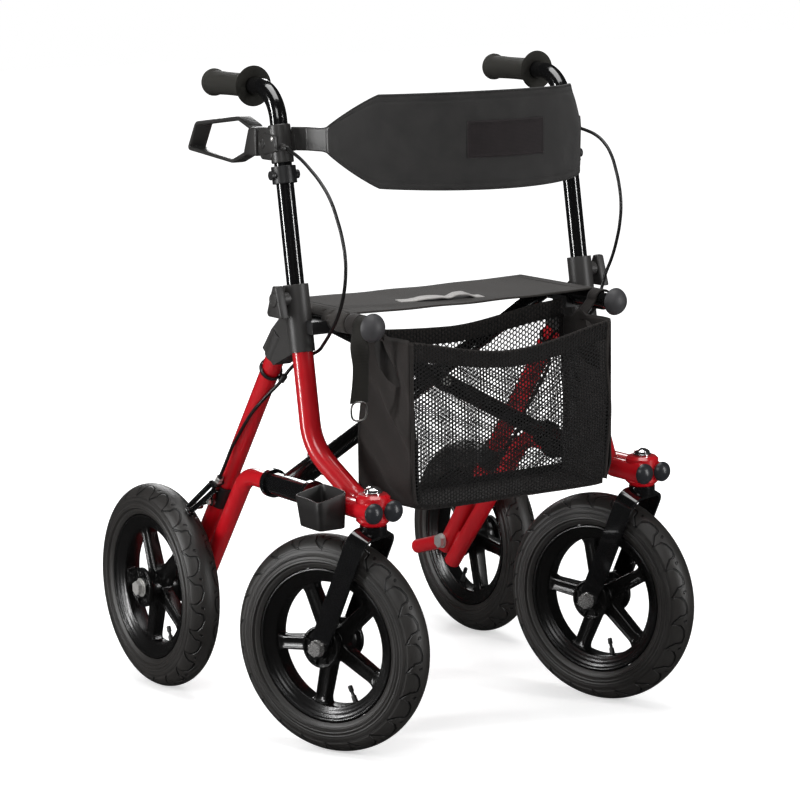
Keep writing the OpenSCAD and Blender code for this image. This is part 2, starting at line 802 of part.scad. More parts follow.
module brace(side) {
    y = side < 0 ? brace_left_y : brace_right_y;
    low = [fold_low.x, y, fold_low.y];
    high = [-fold_high.x, y, fold_high.y];
    dir = (high - low) / norm(high - low);
    cross_point = [0, y, brace_cross_z];
    bolt_clear = side < 0 ? weld_gap : run_fit;
    sleeve_front_y = sleeve_rear_y - sleeve_l;
    color(black) mirrored_side(side) difference() {
        union() {
            rod(low, high, brace_d);
            rod(low, low + brace_collar_at * dir, brace_d + 2 * sleeve_wall);
            rod([low.x, sleeve_front_y, low.z], [low.x, sleeve_rear_y, low.z], sleeve_d);
            for (end_y = [sleeve_front_y, sleeve_rear_y - sleeve_collar_l])
                rod([low.x, end_y, low.z], [low.x, end_y + sleeve_collar_l, low.z],
                    sleeve_d + 2 * sleeve_collar);
            rod(low + (brace_collar_at - brace_collar_l) * dir, low + brace_collar_at * dir,
                brace_d + 2 * sleeve_wall + 2 * sleeve_collar);
        }
        rod([low.x, sleeve_front_y - overrun, low.z], [low.x, sleeve_rear_y + overrun, low.z],
            rail_d + 2 * run_fit);
        rod(low + brace_collar_at * dir, high + brace_d * dir, brace_d - 2 * tube_wall);
        rod([high.x, y - brace_d, high.z], [high.x, y + brace_d, high.z], brace_d + 2 * weld_gap);
        translate(cross_point + [0, brace_d, 0]) rotate([90, 0, 0])
            cylinder(d = brace_bolt_d + 2 * bolt_clear, h = 2 * brace_d);
    }
}

module brace_bolt() {
    rear_y = brace_left_y + brace_d / 2;
    front_y = brace_right_y - brace_d / 2 - slip;
    color(steel) {
        translate([0, rear_y + brace_nut_t, brace_cross_z]) rotate([90, 0, 0])
            cylinder(d = brace_bolt_d, h = rear_y - front_y + 2 * brace_nut_t);
        for (end_y = [rear_y + brace_nut_t + weld_gap, front_y])
            translate([0, end_y, brace_cross_z]) rotate([90, 0, 0])
                cylinder(d = brace_nut_d, h = brace_nut_t, $fn = 6);
        translate([0, brace_left_y - brace_d / 2, brace_cross_z]) rotate([90, 0, 0])
            cylinder(d = brace_nut_d, h = brace_left_y - brace_right_y - brace_d - slip);
    }
}

module seat_tube(side) {
    color(black) mirrored_side(side)
        rod([seat_x, seat_tube_front_y, seat_z], [seat_x, seat_tube_rear_y, seat_z], brace_d,
            brace_d - 2 * tube_wall);
}

module seat_knob(side) {
    cap_r = (seat_knob_d * seat_knob_d / 4 + seat_knob_t * seat_knob_t) / (2 * seat_knob_t);
    color(mid_grey) mirrored_side(side)
        translate([seat_x, seat_tube_front_y - weld_gap, seat_z]) rotate([90, 0, 0]) {
            cylinder(d = brace_d + tube_wall, h = seat_knob_neck);
            translate([0, 0, seat_knob_neck]) intersection() {
                translate([0, 0, seat_knob_t - cap_r]) sphere(r = cap_r);
                cylinder(d = seat_knob_d, h = seat_knob_t + overrun);
            }
        }
}

// Soft parts

module seat_sling() {
    tube_r = brace_d / 2 + slip;
    depth = seat_rear_y - seat_front_y;
    cradle_front_y = cradle_rear_y - cradle_l;
    arm_rear_y = brace_left_y + brace_d / 2 + sleeve_wall;
    color(fabric_grey) difference() {
        union() {
            translate([-seat_x, seat_front_y, seat_z + tube_r]) cube([2 * seat_x, depth, fabric_t]);
            for (side = [-1, 1])
                rod([side * seat_x, seat_front_y, seat_z], [side * seat_x, seat_rear_y, seat_z],
                    2 * (tube_r + hem_wall));
        }
        for (side = [-1, 1]) {
            rod([side * seat_x, seat_front_y - overrun, seat_z],
                [side * seat_x, seat_rear_y + overrun, seat_z], 2 * tube_r);
            translate([side * seat_x - column_x / 2, cradle_front_y - slip, seat_z - column_x])
                cube([column_x, arm_rear_y - cradle_front_y + slip, column_x]);
            translate([side * seat_x - (side > 0 ? column_x : 0), cradle_front_y - slip, seat_z - overrun])
                cube([column_x, arm_rear_y - cradle_front_y + slip, brace_d / 2 + overrun]);
        }
    }
}

module pull_strap() {
    top_z = seat_z + brace_d / 2 + slip + fabric_t + weld_gap;
    y = (seat_front_y + seat_rear_y) / 2 - strap_w;
    color(strap_grey) slab_y(y, strap_w) translate([strap_x, top_z]) polygon([
        [-strap_l / 2, 0], [-strap_l / 3, 0], [-strap_l / 6, strap_lift], [strap_l / 6, strap_lift],
        [strap_l / 3, 0], [strap_l / 2, 0], [strap_l / 2, strap_t], [strap_l / 3, strap_t],
        [strap_l / 6, strap_lift + strap_t], [-strap_l / 6, strap_lift + strap_t],
        [-strap_l / 3, strap_t], [-strap_l / 2, strap_t]
    ]);
}

module basket_plan(grow) {
    polygon([
        [-basket_front_x - grow, basket_front_y - grow], [basket_front_x + grow, basket_front_y - grow],
        [basket_back_x + grow, basket_back_y + grow], [-basket_back_x - grow, basket_back_y + grow]
    ]);
}

module basket_loops() {
    loop_r = brace_d / 2 + slip;
    front_y = seat_front_y - basket_loop_w - fabric_t;
    for (side = [-1, 1]) difference() {
        union() {
            rod([side * seat_x, front_y, seat_z], [side * seat_x, front_y + basket_loop_w, seat_z],
                2 * (loop_r + fabric_t));
            slab_y(front_y + basket_loop_w / 2, basket_loop_w) polygon([
                [side * (seat_x - loop_r), seat_z], [side * (seat_x - loop_r - fabric_t), seat_z],
                [side * (basket_front_x + fabric_t), basket_high_z - basket_loop_drop],
                [side * (basket_front_x + 2 * fabric_t), basket_high_z - basket_loop_drop]
            ]);
        }
        rod([side * seat_x, front_y - overrun, seat_z],
            [side * seat_x, front_y + basket_loop_w + overrun, seat_z], 2 * loop_r);
    }
}

module basket() {
    wall = fabric_t;
    window_x = basket_front_x - mesh_edge;
    back_window_x = basket_back_x - mesh_edge;
    color(fabric_grey) {
        difference() {
            translate([0, 0, basket_low_z]) linear_extrude(basket_high_z - basket_low_z) basket_plan(0);
            translate([0, 0, basket_low_z + wall]) linear_extrude(basket_high_z) basket_plan(-wall);
            translate([-window_x, basket_front_y - overrun, basket_low_z + mesh_edge])
                cube([2 * window_x, wall + 2 * overrun, basket_high_z - basket_low_z - 2 * mesh_edge]);
            translate([-back_window_x, basket_back_y - wall - overrun, basket_low_z + mesh_edge])
                cube([2 * back_window_x, wall + 2 * overrun, basket_high_z - basket_low_z - 2 * mesh_edge]);
        }
        basket_loops();
    }
}

module net(half_w, low_z, high_z, columns, rows) {
    step_x = 2 * half_w / columns;
    step_z = (high_z - low_z) / rows;
    difference() {
        translate([-half_w, low_z]) square([2 * half_w, high_z - low_z]);
        for (i = [0:columns - 1], k = [0:rows - 1])
            translate([-half_w + (i + 1 / 2) * step_x, low_z + (k + 1 / 2) * step_z])
                polygon(mesh_bar_share / 2 * [
                    [-step_x, 0], [-step_x / 2, -step_z], [step_x / 2, -step_z],
                    [step_x, 0], [step_x / 2, step_z], [-step_x / 2, step_z]
                ]);
    }
}

module basket_mesh() {
    low = basket_low_z + mesh_edge + weld_gap;
    high = basket_high_z - mesh_edge - weld_gap;
    color(black) {
        slab_y(basket_front_y + fabric_t / 2, mesh_t)
            net(basket_front_x - mesh_edge - weld_gap, low, high, mesh_columns, mesh_rows);
        slab_y(basket_back_y - fabric_t / 2, mesh_t)
            net(basket_back_x - mesh_edge - weld_gap, low, high, mesh_back_columns, mesh_back_rows);
    }
}

module basket_strap() {
    loop_r = brace_d / 2 + slip;
    y = seat_tube_front_y + hang_loop_w / 2 + hang_loop_gap;
    low_z = seat_z - hang_strap_l;
    x = -seat_x - loop_r - strap_t / 2;
    color(fabric_grey) {
        difference() {
            union() {
                rod([-seat_x, y - hang_loop_w / 2, seat_z], [-seat_x, y + hang_loop_w / 2, seat_z],
                    2 * (loop_r + strap_t));
                translate([x - strap_w / 2, y - strap_t / 2, low_z]) cube([strap_w, strap_t, hang_strap_l]);
            }
            rod([-seat_x, y - strap_w, seat_z], [-seat_x, y + strap_w, seat_z], 2 * loop_r);
        }
        slab_y(y, ring_wire_d) translate([x, low_z - ring_d / 2]) difference() {
            circle(d = ring_d + ring_wire_d);
            circle(d = ring_d - ring_wire_d);
        }
    }
}

module belt_ring(t, half_h) {
    translate([0, 0, belt_z - half_h]) linear_extrude(2 * half_h) difference() {
        translate([0, on_column(belt_z).y]) circle(r = belt_r + t / 2, $fn = 128);
        translate([0, on_column(belt_z).y]) circle(r = belt_r - t / 2, $fn = 128);
    }
}

module backrest() {
    tip_half_h = belt_tip_share * belt_half_h;
    full_x = belt_r * sin(belt_full_angle);
    tip_x = belt_r * sin(belt_tip_angle);
    arm_y = on_column(belt_z).y - belt_r * cos(belt_arm_angle);
    column_at = on_column(belt_z).y;
    inner_x = belt_r * sin(belt_arm_angle) - belt_arm_t;
    housing_x = column_x - housing_w / 2 - weld_gap;
    color(fabric_grey) {
        intersection() {
            belt_ring(belt_t, belt_half_h);
            slab_y(column_at - belt_r, 2 * belt_r * (1 - cos(belt_tip_angle))) polygon([
                [-tip_x, belt_z - tip_half_h], [-full_x, belt_z - belt_half_h],
                [full_x, belt_z - belt_half_h], [tip_x, belt_z - tip_half_h],
                [tip_x, belt_z + tip_half_h], [full_x, belt_z + belt_half_h],
                [-full_x, belt_z + belt_half_h], [-tip_x, belt_z + tip_half_h]
            ]);
        }
        intersection() {
            belt_ring(belt_arm_t, tip_half_h);
            for (side = [-1, 1]) mirrored_side(side)
                translate([tip_x - belt_t, arm_y - belt_r, 0]) cube([belt_r, belt_r, grip_z]);
        }
        for (side = [-1, 1]) mirrored_side(side)
            translate([inner_x, arm_y - overrun, belt_z - tip_half_h])
                cube([housing_x - inner_x, belt_plate_l, 2 * tip_half_h]);
    }
}

module cup_form(inset) {
    inner_x = -(rail_x + rail_d / 2 + weld_gap) - inset;
    outer_x = inner_x + 2 * inset - cup_width_share * cup_d;
    middle_y = caster_y + cup_set;
    half_l = cup_d / 2 - inset;
    top_z = rail_z + rail_d / 2 + cup_rise + (inset > 0 ? overrun : 0);
    low_z = rail_z + rail_d / 2 + cup_rise - cup_h + inset;
    intersection() {
        slab_y(middle_y, 2 * cup_d) polygon([
            [inner_x, low_z], [inner_x, top_z], [outer_x, top_z - cup_dip], [outer_x + cup_foot_in, low_z]
        ]);
        slab_x(inner_x, 2 * cup_d + rail_x) polygon([
            [middle_y - half_l + cup_foot_in, low_z], [middle_y - half_l, top_z],
            [middle_y + half_l, top_z], [middle_y + half_l - cup_foot_in, low_z]
        ]);
    }
}

module cane_cup() {
    middle_y = caster_y + cup_set;
    clip_w = cup_d / 2;
    color(dark_grey) difference() {
        union() {
            cup_form(0);
            translate([-rail_x - rail_d / 2 - cup_wall, middle_y - clip_w / 2, rail_z - rail_d / 2])
                cube([rail_d / 2 + cup_wall, clip_w, rail_d]);
        }
        cup_form(cup_wall);
        rod([-rail_x, middle_y - cup_d, rail_z], [-rail_x, middle_y + cup_d, rail_z], rail_d + 2 * weld_gap);
    }
}

// Casters

fork_gap = 1.5;
fork_in = hub_l / 2 + fork_gap;
fork_out = fork_in + fork_bar_t;
crown_z = head_low_z - crown_drop;
fork_l = norm([caster_trail, crown_z - axle_z]);
fork_lean = atan2(caster_trail, crown_z - axle_z);
stem_top_gap = 6;
boss_d = 38;
stem_nut_wall = 2.5;
stem_flange = 4.5;
stem_flange_t = 2.5;
stem_dome = 4.5;

module fork_outline() {
    difference() {
        union() {
            translate([-fork_out, -fork_bar_w])
                square([2 * fork_out, fork_l + fork_bar_w - fork_shoulder_r]);
            translate([-fork_out + fork_shoulder_r, 0]) square([2 * (fork_out - fork_shoulder_r), fork_l]);
            for (s = [-1, 1]) translate([s * (fork_out - fork_shoulder_r), fork_l - fork_shoulder_r])
                circle(r = fork_shoulder_r);
        }
        translate([-fork_in, -fork_bar_w - overrun])
            square([2 * fork_in, fork_l + fork_bar_w - fork_shoulder_r + overrun]);
        translate([-fork_out + fork_shoulder_r, 0])
            square([2 * (fork_out - fork_shoulder_r), fork_l - fork_bar_t]);
        for (s = [-1, 1]) translate([s * (fork_out - fork_shoulder_r), fork_l - fork_shoulder_r])
            circle(r = fork_shoulder_r - fork_bar_t);
    }
}

module fork(side) {
    color(black) at_caster(side) difference() {
        union() {
            translate([0, caster_trail, axle_z]) rotate([fork_lean, 0, 0]) intersection() {
                slab_y(0, fork_bar_w) fork_outline();
                union() {
                    translate([-fork_out, -fork_bar_w / 2, 0]) cube([2 * fork_out, fork_bar_w, fork_l]);
                    translate([-fork_out, 0, 0]) rotate([0, 90, 0])
                        cylinder(d = fork_bar_w, h = 2 * fork_out);
                }
            }
            translate([0, 0, crown_z - fork_bar_t])
                cylinder(d = boss_d, h = crown_drop + fork_bar_t - slip);
            translate([0, 0, crown_z])
                cylinder(d = stem_d, h = head_low_z + head_h + stem_top_gap - crown_z);
        }
        translate([-2 * fork_out, caster_trail, axle_z]) rotate([0, 90, 0])
            cylinder(d = axle_d + 2 * weld_gap, h = 4 * fork_out);
    }
}

module stem_nut(side) {
    low_z = head_low_z + head_h + slip;
    d = stem_d + 2 * stem_nut_wall;
    dome_r = (d * d / 4 + stem_dome * stem_dome) / (2 * stem_dome);
    color(steel) at_caster(side) difference() {
        union() {
            translate([0, 0, low_z]) cylinder(d = d + 2 * stem_flange - 2 * stem_nut_wall, h = stem_flange_t);
            translate([0, 0, low_z]) cylinder(d = d, h = stem_top_gap);
            translate([0, 0, low_z + stem_top_gap]) intersection() {
                translate([0, 0, stem_dome - dome_r]) sphere(r = dome_r);
                cylinder(d = d, h = stem_dome + overrun);
            }
        }
        translate([0, 0, low_z - overrun]) cylinder(d = stem_d + 2 * weld_gap, h = stem_top_gap + overrun);
    }
}

// Wheels

module tyre() {
    color(black) {
        rotate_extrude($fn = 96) difference() {
            translate([wheel_d / 2 - tyre_w / 2, 0]) circle(d = tyre_w);
            translate([wheel_d / 2 - tyre_w / 2, 0]) circle(d = tyre_w - 2 * tyre_wall);
            translate([0, -tyre_w]) square([rim_d / 2 + weld_gap, 2 * tyre_w]);
        }
        rotate([0, 0, 180 / spoke_count]) translate([rim_opening_d / 2 - valve_l, 0, 0]) rotate([0, 90, 0])
            cylinder(d = valve_d, h = valve_l + rim_d / 2 - rim_opening_d / 2);
    }
}

module rim() {
    half_w = rim_w / 2;
    flange_t = rim_w / 9;
    opening_r = rim_opening_d / 2;
    flange_r = rim_d / 2;
    seat_r = flange_r - flange_t;
    color(black) difference() {
        union() {
            rotate_extrude($fn = 96) polygon([
                [opening_r, -half_w + 2 * flange_t], [seat_r - flange_t, -half_w], [flange_r, -half_w],
                [flange_r, -half_w + flange_t], [seat_r, -half_w + 2 * flange_t],
                [seat_r, half_w - 2 * flange_t], [flange_r, half_w - flange_t], [flange_r, half_w],
                [seat_r - flange_t, half_w], [opening_r, half_w - 2 * flange_t]
            ]);
            translate([0, 0, -hub_l / 2]) cylinder(d = hub_core_d, h = hub_l);
            for (z = [-hub_l / 2, hub_l / 2 - hub_disc_t])
                translate([0, 0, z]) cylinder(d = hub_d, h = hub_disc_t);
            for (k = [0:spoke_count - 1]) rotate([0, 0, 360 * k / spoke_count])
                translate([0, 0, -spoke_t / 2]) linear_extrude(spoke_t) polygon([
                    [hub_core_d / 4, -spoke_in_w / 2], [opening_r + flange_t, -spoke_out_w / 2],
                    [opening_r + flange_t, spoke_out_w / 2], [hub_core_d / 4, spoke_in_w / 2]
                ]);
        }
        translate([0, 0, -hub_l]) cylinder(d = axle_d + 2 * tube_wall, h = 2 * hub_l);
        for (z = [-hub_l / 2 - overrun, hub_l / 2 - bearing_w - slip]) translate([0, 0, z])
            cylinder(d = bearing_d + 2 * run_fit, h = bearing_w + slip + overrun);
        rotate([0, 0, 180 / spoke_count]) translate([opening_r - valve_l, 0, 0]) rotate([0, 90, 0])
            cylinder(d = valve_d + 2 * weld_gap, h = 2 * valve_l + rim_d / 2);
    }
}

nut_t = 9;
nut_d = 22;
washer_t = 2;

// Axle bolt with its head, nut and bearings, from one clamped face to the other
module axle(low, high) {
    color(steel) {
        translate([0, 0, low - nut_t]) cylinder(d = axle_d, h = high - low + 2 * nut_t);
        translate([0, 0, low - nut_t]) cylinder(d = nut_d, h = nut_t - washer_t, $fn = 6);
        translate([0, 0, low - washer_t]) cylinder(d = nut_d + washer_t, h = washer_t);
        translate([0, 0, high]) cylinder(d = nut_d + washer_t, h = washer_t);
        translate([0, 0, high + washer_t]) cylinder(d = nut_d, h = nut_t - washer_t, $fn = 6);
        for (z = [-hub_l / 2, hub_l / 2 - bearing_w]) translate([0, 0, z]) difference() {
            cylinder(d = bearing_d, h = bearing_w);
            translate([0, 0, -overrun]) cylinder(d = axle_d + 2 * weld_gap, h = bearing_w + 2 * overrun);
        }
    }
}

module at_front_wheel(side) {
    at_caster(side) at_wheel([0, caster_trail, axle_z], 0) children();
}

module at_rear_wheel(side) {
    at_wheel([side * rear_track_half, rear_axle_y, axle_z], side < 0 ? 180 : 0) children();
}

rear_axle_in = rear_leg_x - rear_leg_d / 2 - rear_track_half - slip;

front_leg(-1);  // front_leg_left
front_leg(1);  // front_leg_right
lower_rail(-1);  // lower_rail_left
lower_rail(1);  // lower_rail_right
rear_leg(-1);  // rear_leg_left
rear_leg(1);  // rear_leg_right
frame_plugs(-1);  // frame_plugs_left
frame_plugs(1);  // frame_plugs_right
head_casting(-1);  // head_casting_left
head_casting(1);  // head_casting_right
seat_cradle(-1);  // seat_cradle_left
seat_cradle(1);  // seat_cradle_right
clamp_knob(-1);  // clamp_knob_left
clamp_knob(1);  // clamp_knob_right
handle_tube(-1);  // handle_tube_left
handle_tube(1);  // handle_tube_right
handle_collar(-1);  // handle_collar_left
handle_collar(1);  // handle_collar_right
grip(-1);  // grip_left
grip(1);  // grip_right
brake_housing(-1);  // brake_housing_left
brake_housing(1);  // brake_housing_right
brake_lever(-1);  // brake_lever_left
brake_lever(1);  // brake_lever_right
brake_cable(-1);  // brake_cable_left
brake_cable(1);  // brake_cable_right
brake_clamp(-1);  // brake_clamp_left
brake_clamp(1);  // brake_clamp_right
brake_arm(-1);  // brake_arm_left
brake_arm(1);  // brake_arm_right
brace(-1);  // brace_left
brace(1);  // brace_right
brace_bolt();
seat_tube(-1);  // seat_tube_left
seat_tube(1);  // seat_tube_right
seat_knob(-1);  // seat_knob_left
seat_knob(1);  // seat_knob_right
seat_sling();
pull_strap();
basket();
basket_mesh();
basket_strap();
backrest();
cane_cup();
fork(-1);  // fork_left
fork(1);  // fork_right
stem_nut(-1);  // stem_nut_left
stem_nut(1);  // stem_nut_right
at_front_wheel(-1) tyre();  // tyre_front_left
at_front_wheel(1) tyre();  // tyre_front_right
at_rear_wheel(-1) tyre();  // tyre_rear_left
at_rear_wheel(1) tyre();  // tyre_rear_right
at_front_wheel(-1) rim();  // rim_front_left
at_front_wheel(1) rim();  // rim_front_right
at_rear_wheel(-1) rim();  // rim_rear_left
at_rear_wheel(1) rim();  // rim_rear_right
at_front_wheel(-1) axle(-fork_out, fork_out);  // axle_front_left
at_front_wheel(1) axle(-fork_out, fork_out);  // axle_front_right
at_rear_wheel(-1) axle(rear_axle_in, hub_l / 2);  // axle_rear_left
at_rear_wheel(1) axle(rear_axle_in, hub_l / 2);  // axle_rear_right
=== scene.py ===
"""Looks of an all terrain rollator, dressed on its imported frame."""
import json
import logging
import math
from dataclasses import dataclass
from enum import Enum
from itertools import product
from typing import Callable, Iterable, Optional, Sequence

import bmesh
import bpy
from mathutils import Matrix, Vector


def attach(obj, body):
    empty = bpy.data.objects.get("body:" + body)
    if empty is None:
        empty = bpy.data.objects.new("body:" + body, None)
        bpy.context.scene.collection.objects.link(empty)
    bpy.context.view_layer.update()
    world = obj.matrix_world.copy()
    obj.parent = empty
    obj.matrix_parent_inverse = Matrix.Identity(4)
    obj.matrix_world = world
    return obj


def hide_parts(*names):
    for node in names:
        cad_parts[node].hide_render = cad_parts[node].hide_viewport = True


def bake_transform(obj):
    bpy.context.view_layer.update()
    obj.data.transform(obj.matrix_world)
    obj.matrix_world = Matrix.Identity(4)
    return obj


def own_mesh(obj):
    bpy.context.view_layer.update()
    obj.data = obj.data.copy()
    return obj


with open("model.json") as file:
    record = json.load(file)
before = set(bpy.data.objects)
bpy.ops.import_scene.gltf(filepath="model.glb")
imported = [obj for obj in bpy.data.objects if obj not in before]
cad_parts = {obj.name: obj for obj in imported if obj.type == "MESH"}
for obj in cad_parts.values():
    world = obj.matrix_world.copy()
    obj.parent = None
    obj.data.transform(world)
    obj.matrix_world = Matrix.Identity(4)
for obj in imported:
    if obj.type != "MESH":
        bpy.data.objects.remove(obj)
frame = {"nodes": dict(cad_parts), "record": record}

logging.basicConfig(level=logging.INFO, format="%(message)s")
LOG = logging.getLogger("rollator")
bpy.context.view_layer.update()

Colour = tuple[float, float, float]
Point = tuple[float, float, float]
MADE: dict[str, bpy.types.Material] = {}
SLEEVE_EASE = 0.001
MERGE = 1e-7


class Side(Enum):
    """The two sides of the rollator, as seen from the front."""

    LEFT = -1
    RIGHT = 1

    @property
    def word(self) -> str:
        """The side's word in node and body names."""
        return "left" if self is Side.LEFT else "right"


class End(Enum):
    """Front and rear wheels."""

    FRONT = "front"
    REAR = "rear"


class Shade:
    """A node tree under construction, with short calls for its nodes."""

    def __init__(self, name: str) -> None:
        """Start an empty material of that name with a Principled shader.

        Args:
            name: The material's name.
        """
        self.material = bpy.data.materials.new(name)
        self.material.use_nodes = True
        self.tree = self.material.node_tree
        self.shader = self.tree.nodes["Principled BSDF"]
        self.coords = self.tree.nodes.new("ShaderNodeTexCoord")

    def node(self, kind: str, **sockets: object) -> bpy.types.Node:
        """Add a node and set or link its inputs.

        Args:
            kind: The node's type, without its ShaderNode prefix.
            **sockets: Values or output sockets, by input name with _ for spaces.

        Returns:
            The new node.
        """
        made = self.tree.nodes.new("ShaderNode" + kind)
        for key, value in sockets.items():
            self.put(made.inputs[key.replace("_", " ")], value)
        return made

    def put(self, socket: bpy.types.NodeSocket, value: object) -> None:
        """Set a socket to a value, or link an output into it.

        Args:
            socket: The input.
            value: A value, or an output socket.
        """
        if isinstance(value, bpy.types.NodeSocket):
            self.tree.links.new(value, socket)
        else:
            socket.default_value = value

    def math(self, operation: str, a: object, b: object = 0.0, c: object = 0.0) -> bpy.types.NodeSocket:
        """Add a math node.

        Args:
            operation: Blender's name of the operation.
            a: First value or socket.
            b: Second value or socket.
            c: Third value or socket.

        Returns:
            The node's output.
        """
        made = self.tree.nodes.new("ShaderNodeMath")
        made.operation = operation
        for socket, value in zip(made.inputs, (a, b, c)):
            self.put(socket, value)
        return made.outputs[0]

    def vector(self, operation: str, a: object, b: object, place: int = 1) -> bpy.types.Node:
        """Add a vector math node.

        Args:
            operation: Blender's name of the operation.
            a: First vector.
            b: Second vector, or the scale.
            place: Index of the socket that takes b.

        Returns:
            The node.
        """
        made = self.tree.nodes.new("ShaderNodeVectorMath")
        made.operation = operation
        self.put(made.inputs[0], a)
        self.put(made.inputs[place], b)
        return made

    def noise(self, scale: float, detail: float = 3.0) -> bpy.types.NodeSocket:
        """Noise on Object coordinates.

        Args:
            scale: Cells per metre.
            detail: Octaves.

        Returns:
            The noise's factor.
        """
        where = self.coords.outputs["Object"]
        return self.node("TexNoise", Vector=where, Scale=scale, Detail=detail).outputs["Fac"]

    def ramp(
            self, factor: object, low: float, high: float, start: float = 0.0, end: float = 1.0
    ) -> bpy.types.NodeSocket:
        """Map a factor from start..end to low..high.

        Args:
            factor: The socket to map.
            low: Result at start.
            high: Result at end.
            start: Lower end of the factor.
            end: Upper end of the factor.

        Returns:
            The mapped value.
        """
        made = self.node("MapRange", Value=factor, From_Min=start, From_Max=end, To_Min=low, To_Max=high)
        return made.outputs[0]

    def tint(self, factor: object, dark: Colour, pale: Colour) -> bpy.types.NodeSocket:
        """Mix two colours by a factor.

        Args:
            factor: Share of the paler one.
            dark: Colour at 0.
            pale: Colour at 1.

        Returns:
            The mix.
        """
        made = self.tree.nodes.new("ShaderNodeMix")
        made.data_type = "RGBA"
        self.put(made.inputs[0], factor)
        self.put(made.inputs[6], (*dark, 1.0))
        self.put(made.inputs[7], (*pale, 1.0))
        return made.outputs[2]

    def bump(self, height: object, depth: float, rounded: Optional[float] = None) -> None:
        """Bump the shader's normal.

        Args:
            height: Height socket, 0 to 1.
            depth: Height of the bump in metres.
            rounded: Radius of the edge rounding, if edges are rounded.
        """
        made = self.node("Bump", Height=height, Strength=1.0, Distance=depth)
        if rounded:
            edge = self.node("Bevel", Radius=rounded)
            edge.samples = 4
            self.put(made.inputs["Normal"], edge.outputs[0])
        self.put(self.shader.inputs["Normal"], made.outputs[0])


def shades(colour: Colour, spread: float) -> tuple[Colour, Colour]:
    """A darker and a paler shade of a colour.

    Args:
        colour: The middle colour.
        spread: Share to go down and up.

    Returns:
        The darker and the paler shade.
    """
    dark = tuple(max(0.0, c * (1 - spread)) for c in colour)
    pale = tuple(min(1.0, c * (1 + spread)) for c in colour)
    return dark, pale


@dataclass(frozen=True)
class Finish:
    """A surface finish that builds its own material once."""

    name: str
    colour: Colour
    roughness: float

    def build(self) -> bpy.types.Material:
        """Make the finish's material on the first call, and reuse it later.

        Returns:
            The material.
        """
        if self.name not in MADE:
            shade = Shade(self.name)
            self.dress(shade)
            MADE[self.name] = shade.material
        return MADE[self.name]

    def dress(self, shade: Shade) -> None:
        """Add this finish's nodes to a material."""
        raise NotImplementedError

    def tone(self, shade: Shade, factor: object, spread: float) -> None:
        """Let the colour wander around its middle with a factor."""
        shade.put(shade.shader.inputs["Base Color"], shade.tint(factor, *shades(self.colour, spread)))

    def gloss(self, shade: Shade, factor: object, low: float, high: float) -> None:
        """Let the roughness wander between two shares of itself with a factor."""
        rough = shade.ramp(factor, self.roughness * low, self.roughness * high)
        shade.put(shade.shader.inputs["Roughness"], rough)


@dataclass(frozen=True)
class CoatedTube(Finish):
    """Gloss powder coat on metal, with a slight orange peel."""

    coat: float = 1.0
    coat_roughness: float = 0.035
    edge: Optional[float] = None
    clouds: float = 9.0
    haze: float = 60.0
    peel: float = 180.0
    peel_depth: float = 0.00001

    def dress(self, shade: Shade) -> None:
        """Add the coat, its depth of colour and its orange peel.

        Args:
            shade: The material under construction.
        """
        self.tone(shade, shade.noise(self.clouds, 4.0), 0.14)
        self.gloss(shade, shade.noise(self.haze), 0.8, 1.25)
        shade.shader.inputs["Coat Weight"].default_value = self.coat
        shade.shader.inputs["Coat Roughness"].default_value = self.coat_roughness
        shade.bump(shade.noise(self.peel, 1.0), self.peel_depth, self.edge)


@dataclass(frozen=True)
class Moulded(Finish):
    """Moulded plastic with a fine eroded grain and soft edges."""

    grain: float = 1400.0
    depth: float = 0.00008
    edge: float = 0.0014
    flow: float = 16.0

    def dress(self, shade: Shade) -> None:
        """Add the grain, the flow marks and the rounded edges.

        Args:
            shade: The material under construction.
        """
        self.tone(shade, shade.noise(self.flow, 5.0), 0.22)
        fine = shade.noise(self.grain, 2.0)
        self.gloss(shade, fine, 0.85, 1.15)
        shade.bump(fine, self.depth, self.edge)


@dataclass(frozen=True)
class Plated(Finish):
    """Bright plated metal with fine turning marks."""

    metal: float = 1.0
    stains: float = 80.0
    streaks: float = 700.0
    depth: float = 0.00003
    edge: float = 0.0006

    def dress(self, shade: Shade) -> None:
        """Add the metal, its streaks and its soft edges.

        Args:
            shade: The material under construction.
        """
        shade.shader.inputs["Metallic"].default_value = self.metal
        streak = shade.noise(self.streaks, 2.0)
        self.tone(shade, shade.noise(self.stains), 0.1)
        self.gloss(shade, streak, 0.6, 1.5)
        shade.bump(streak, self.depth, self.edge)


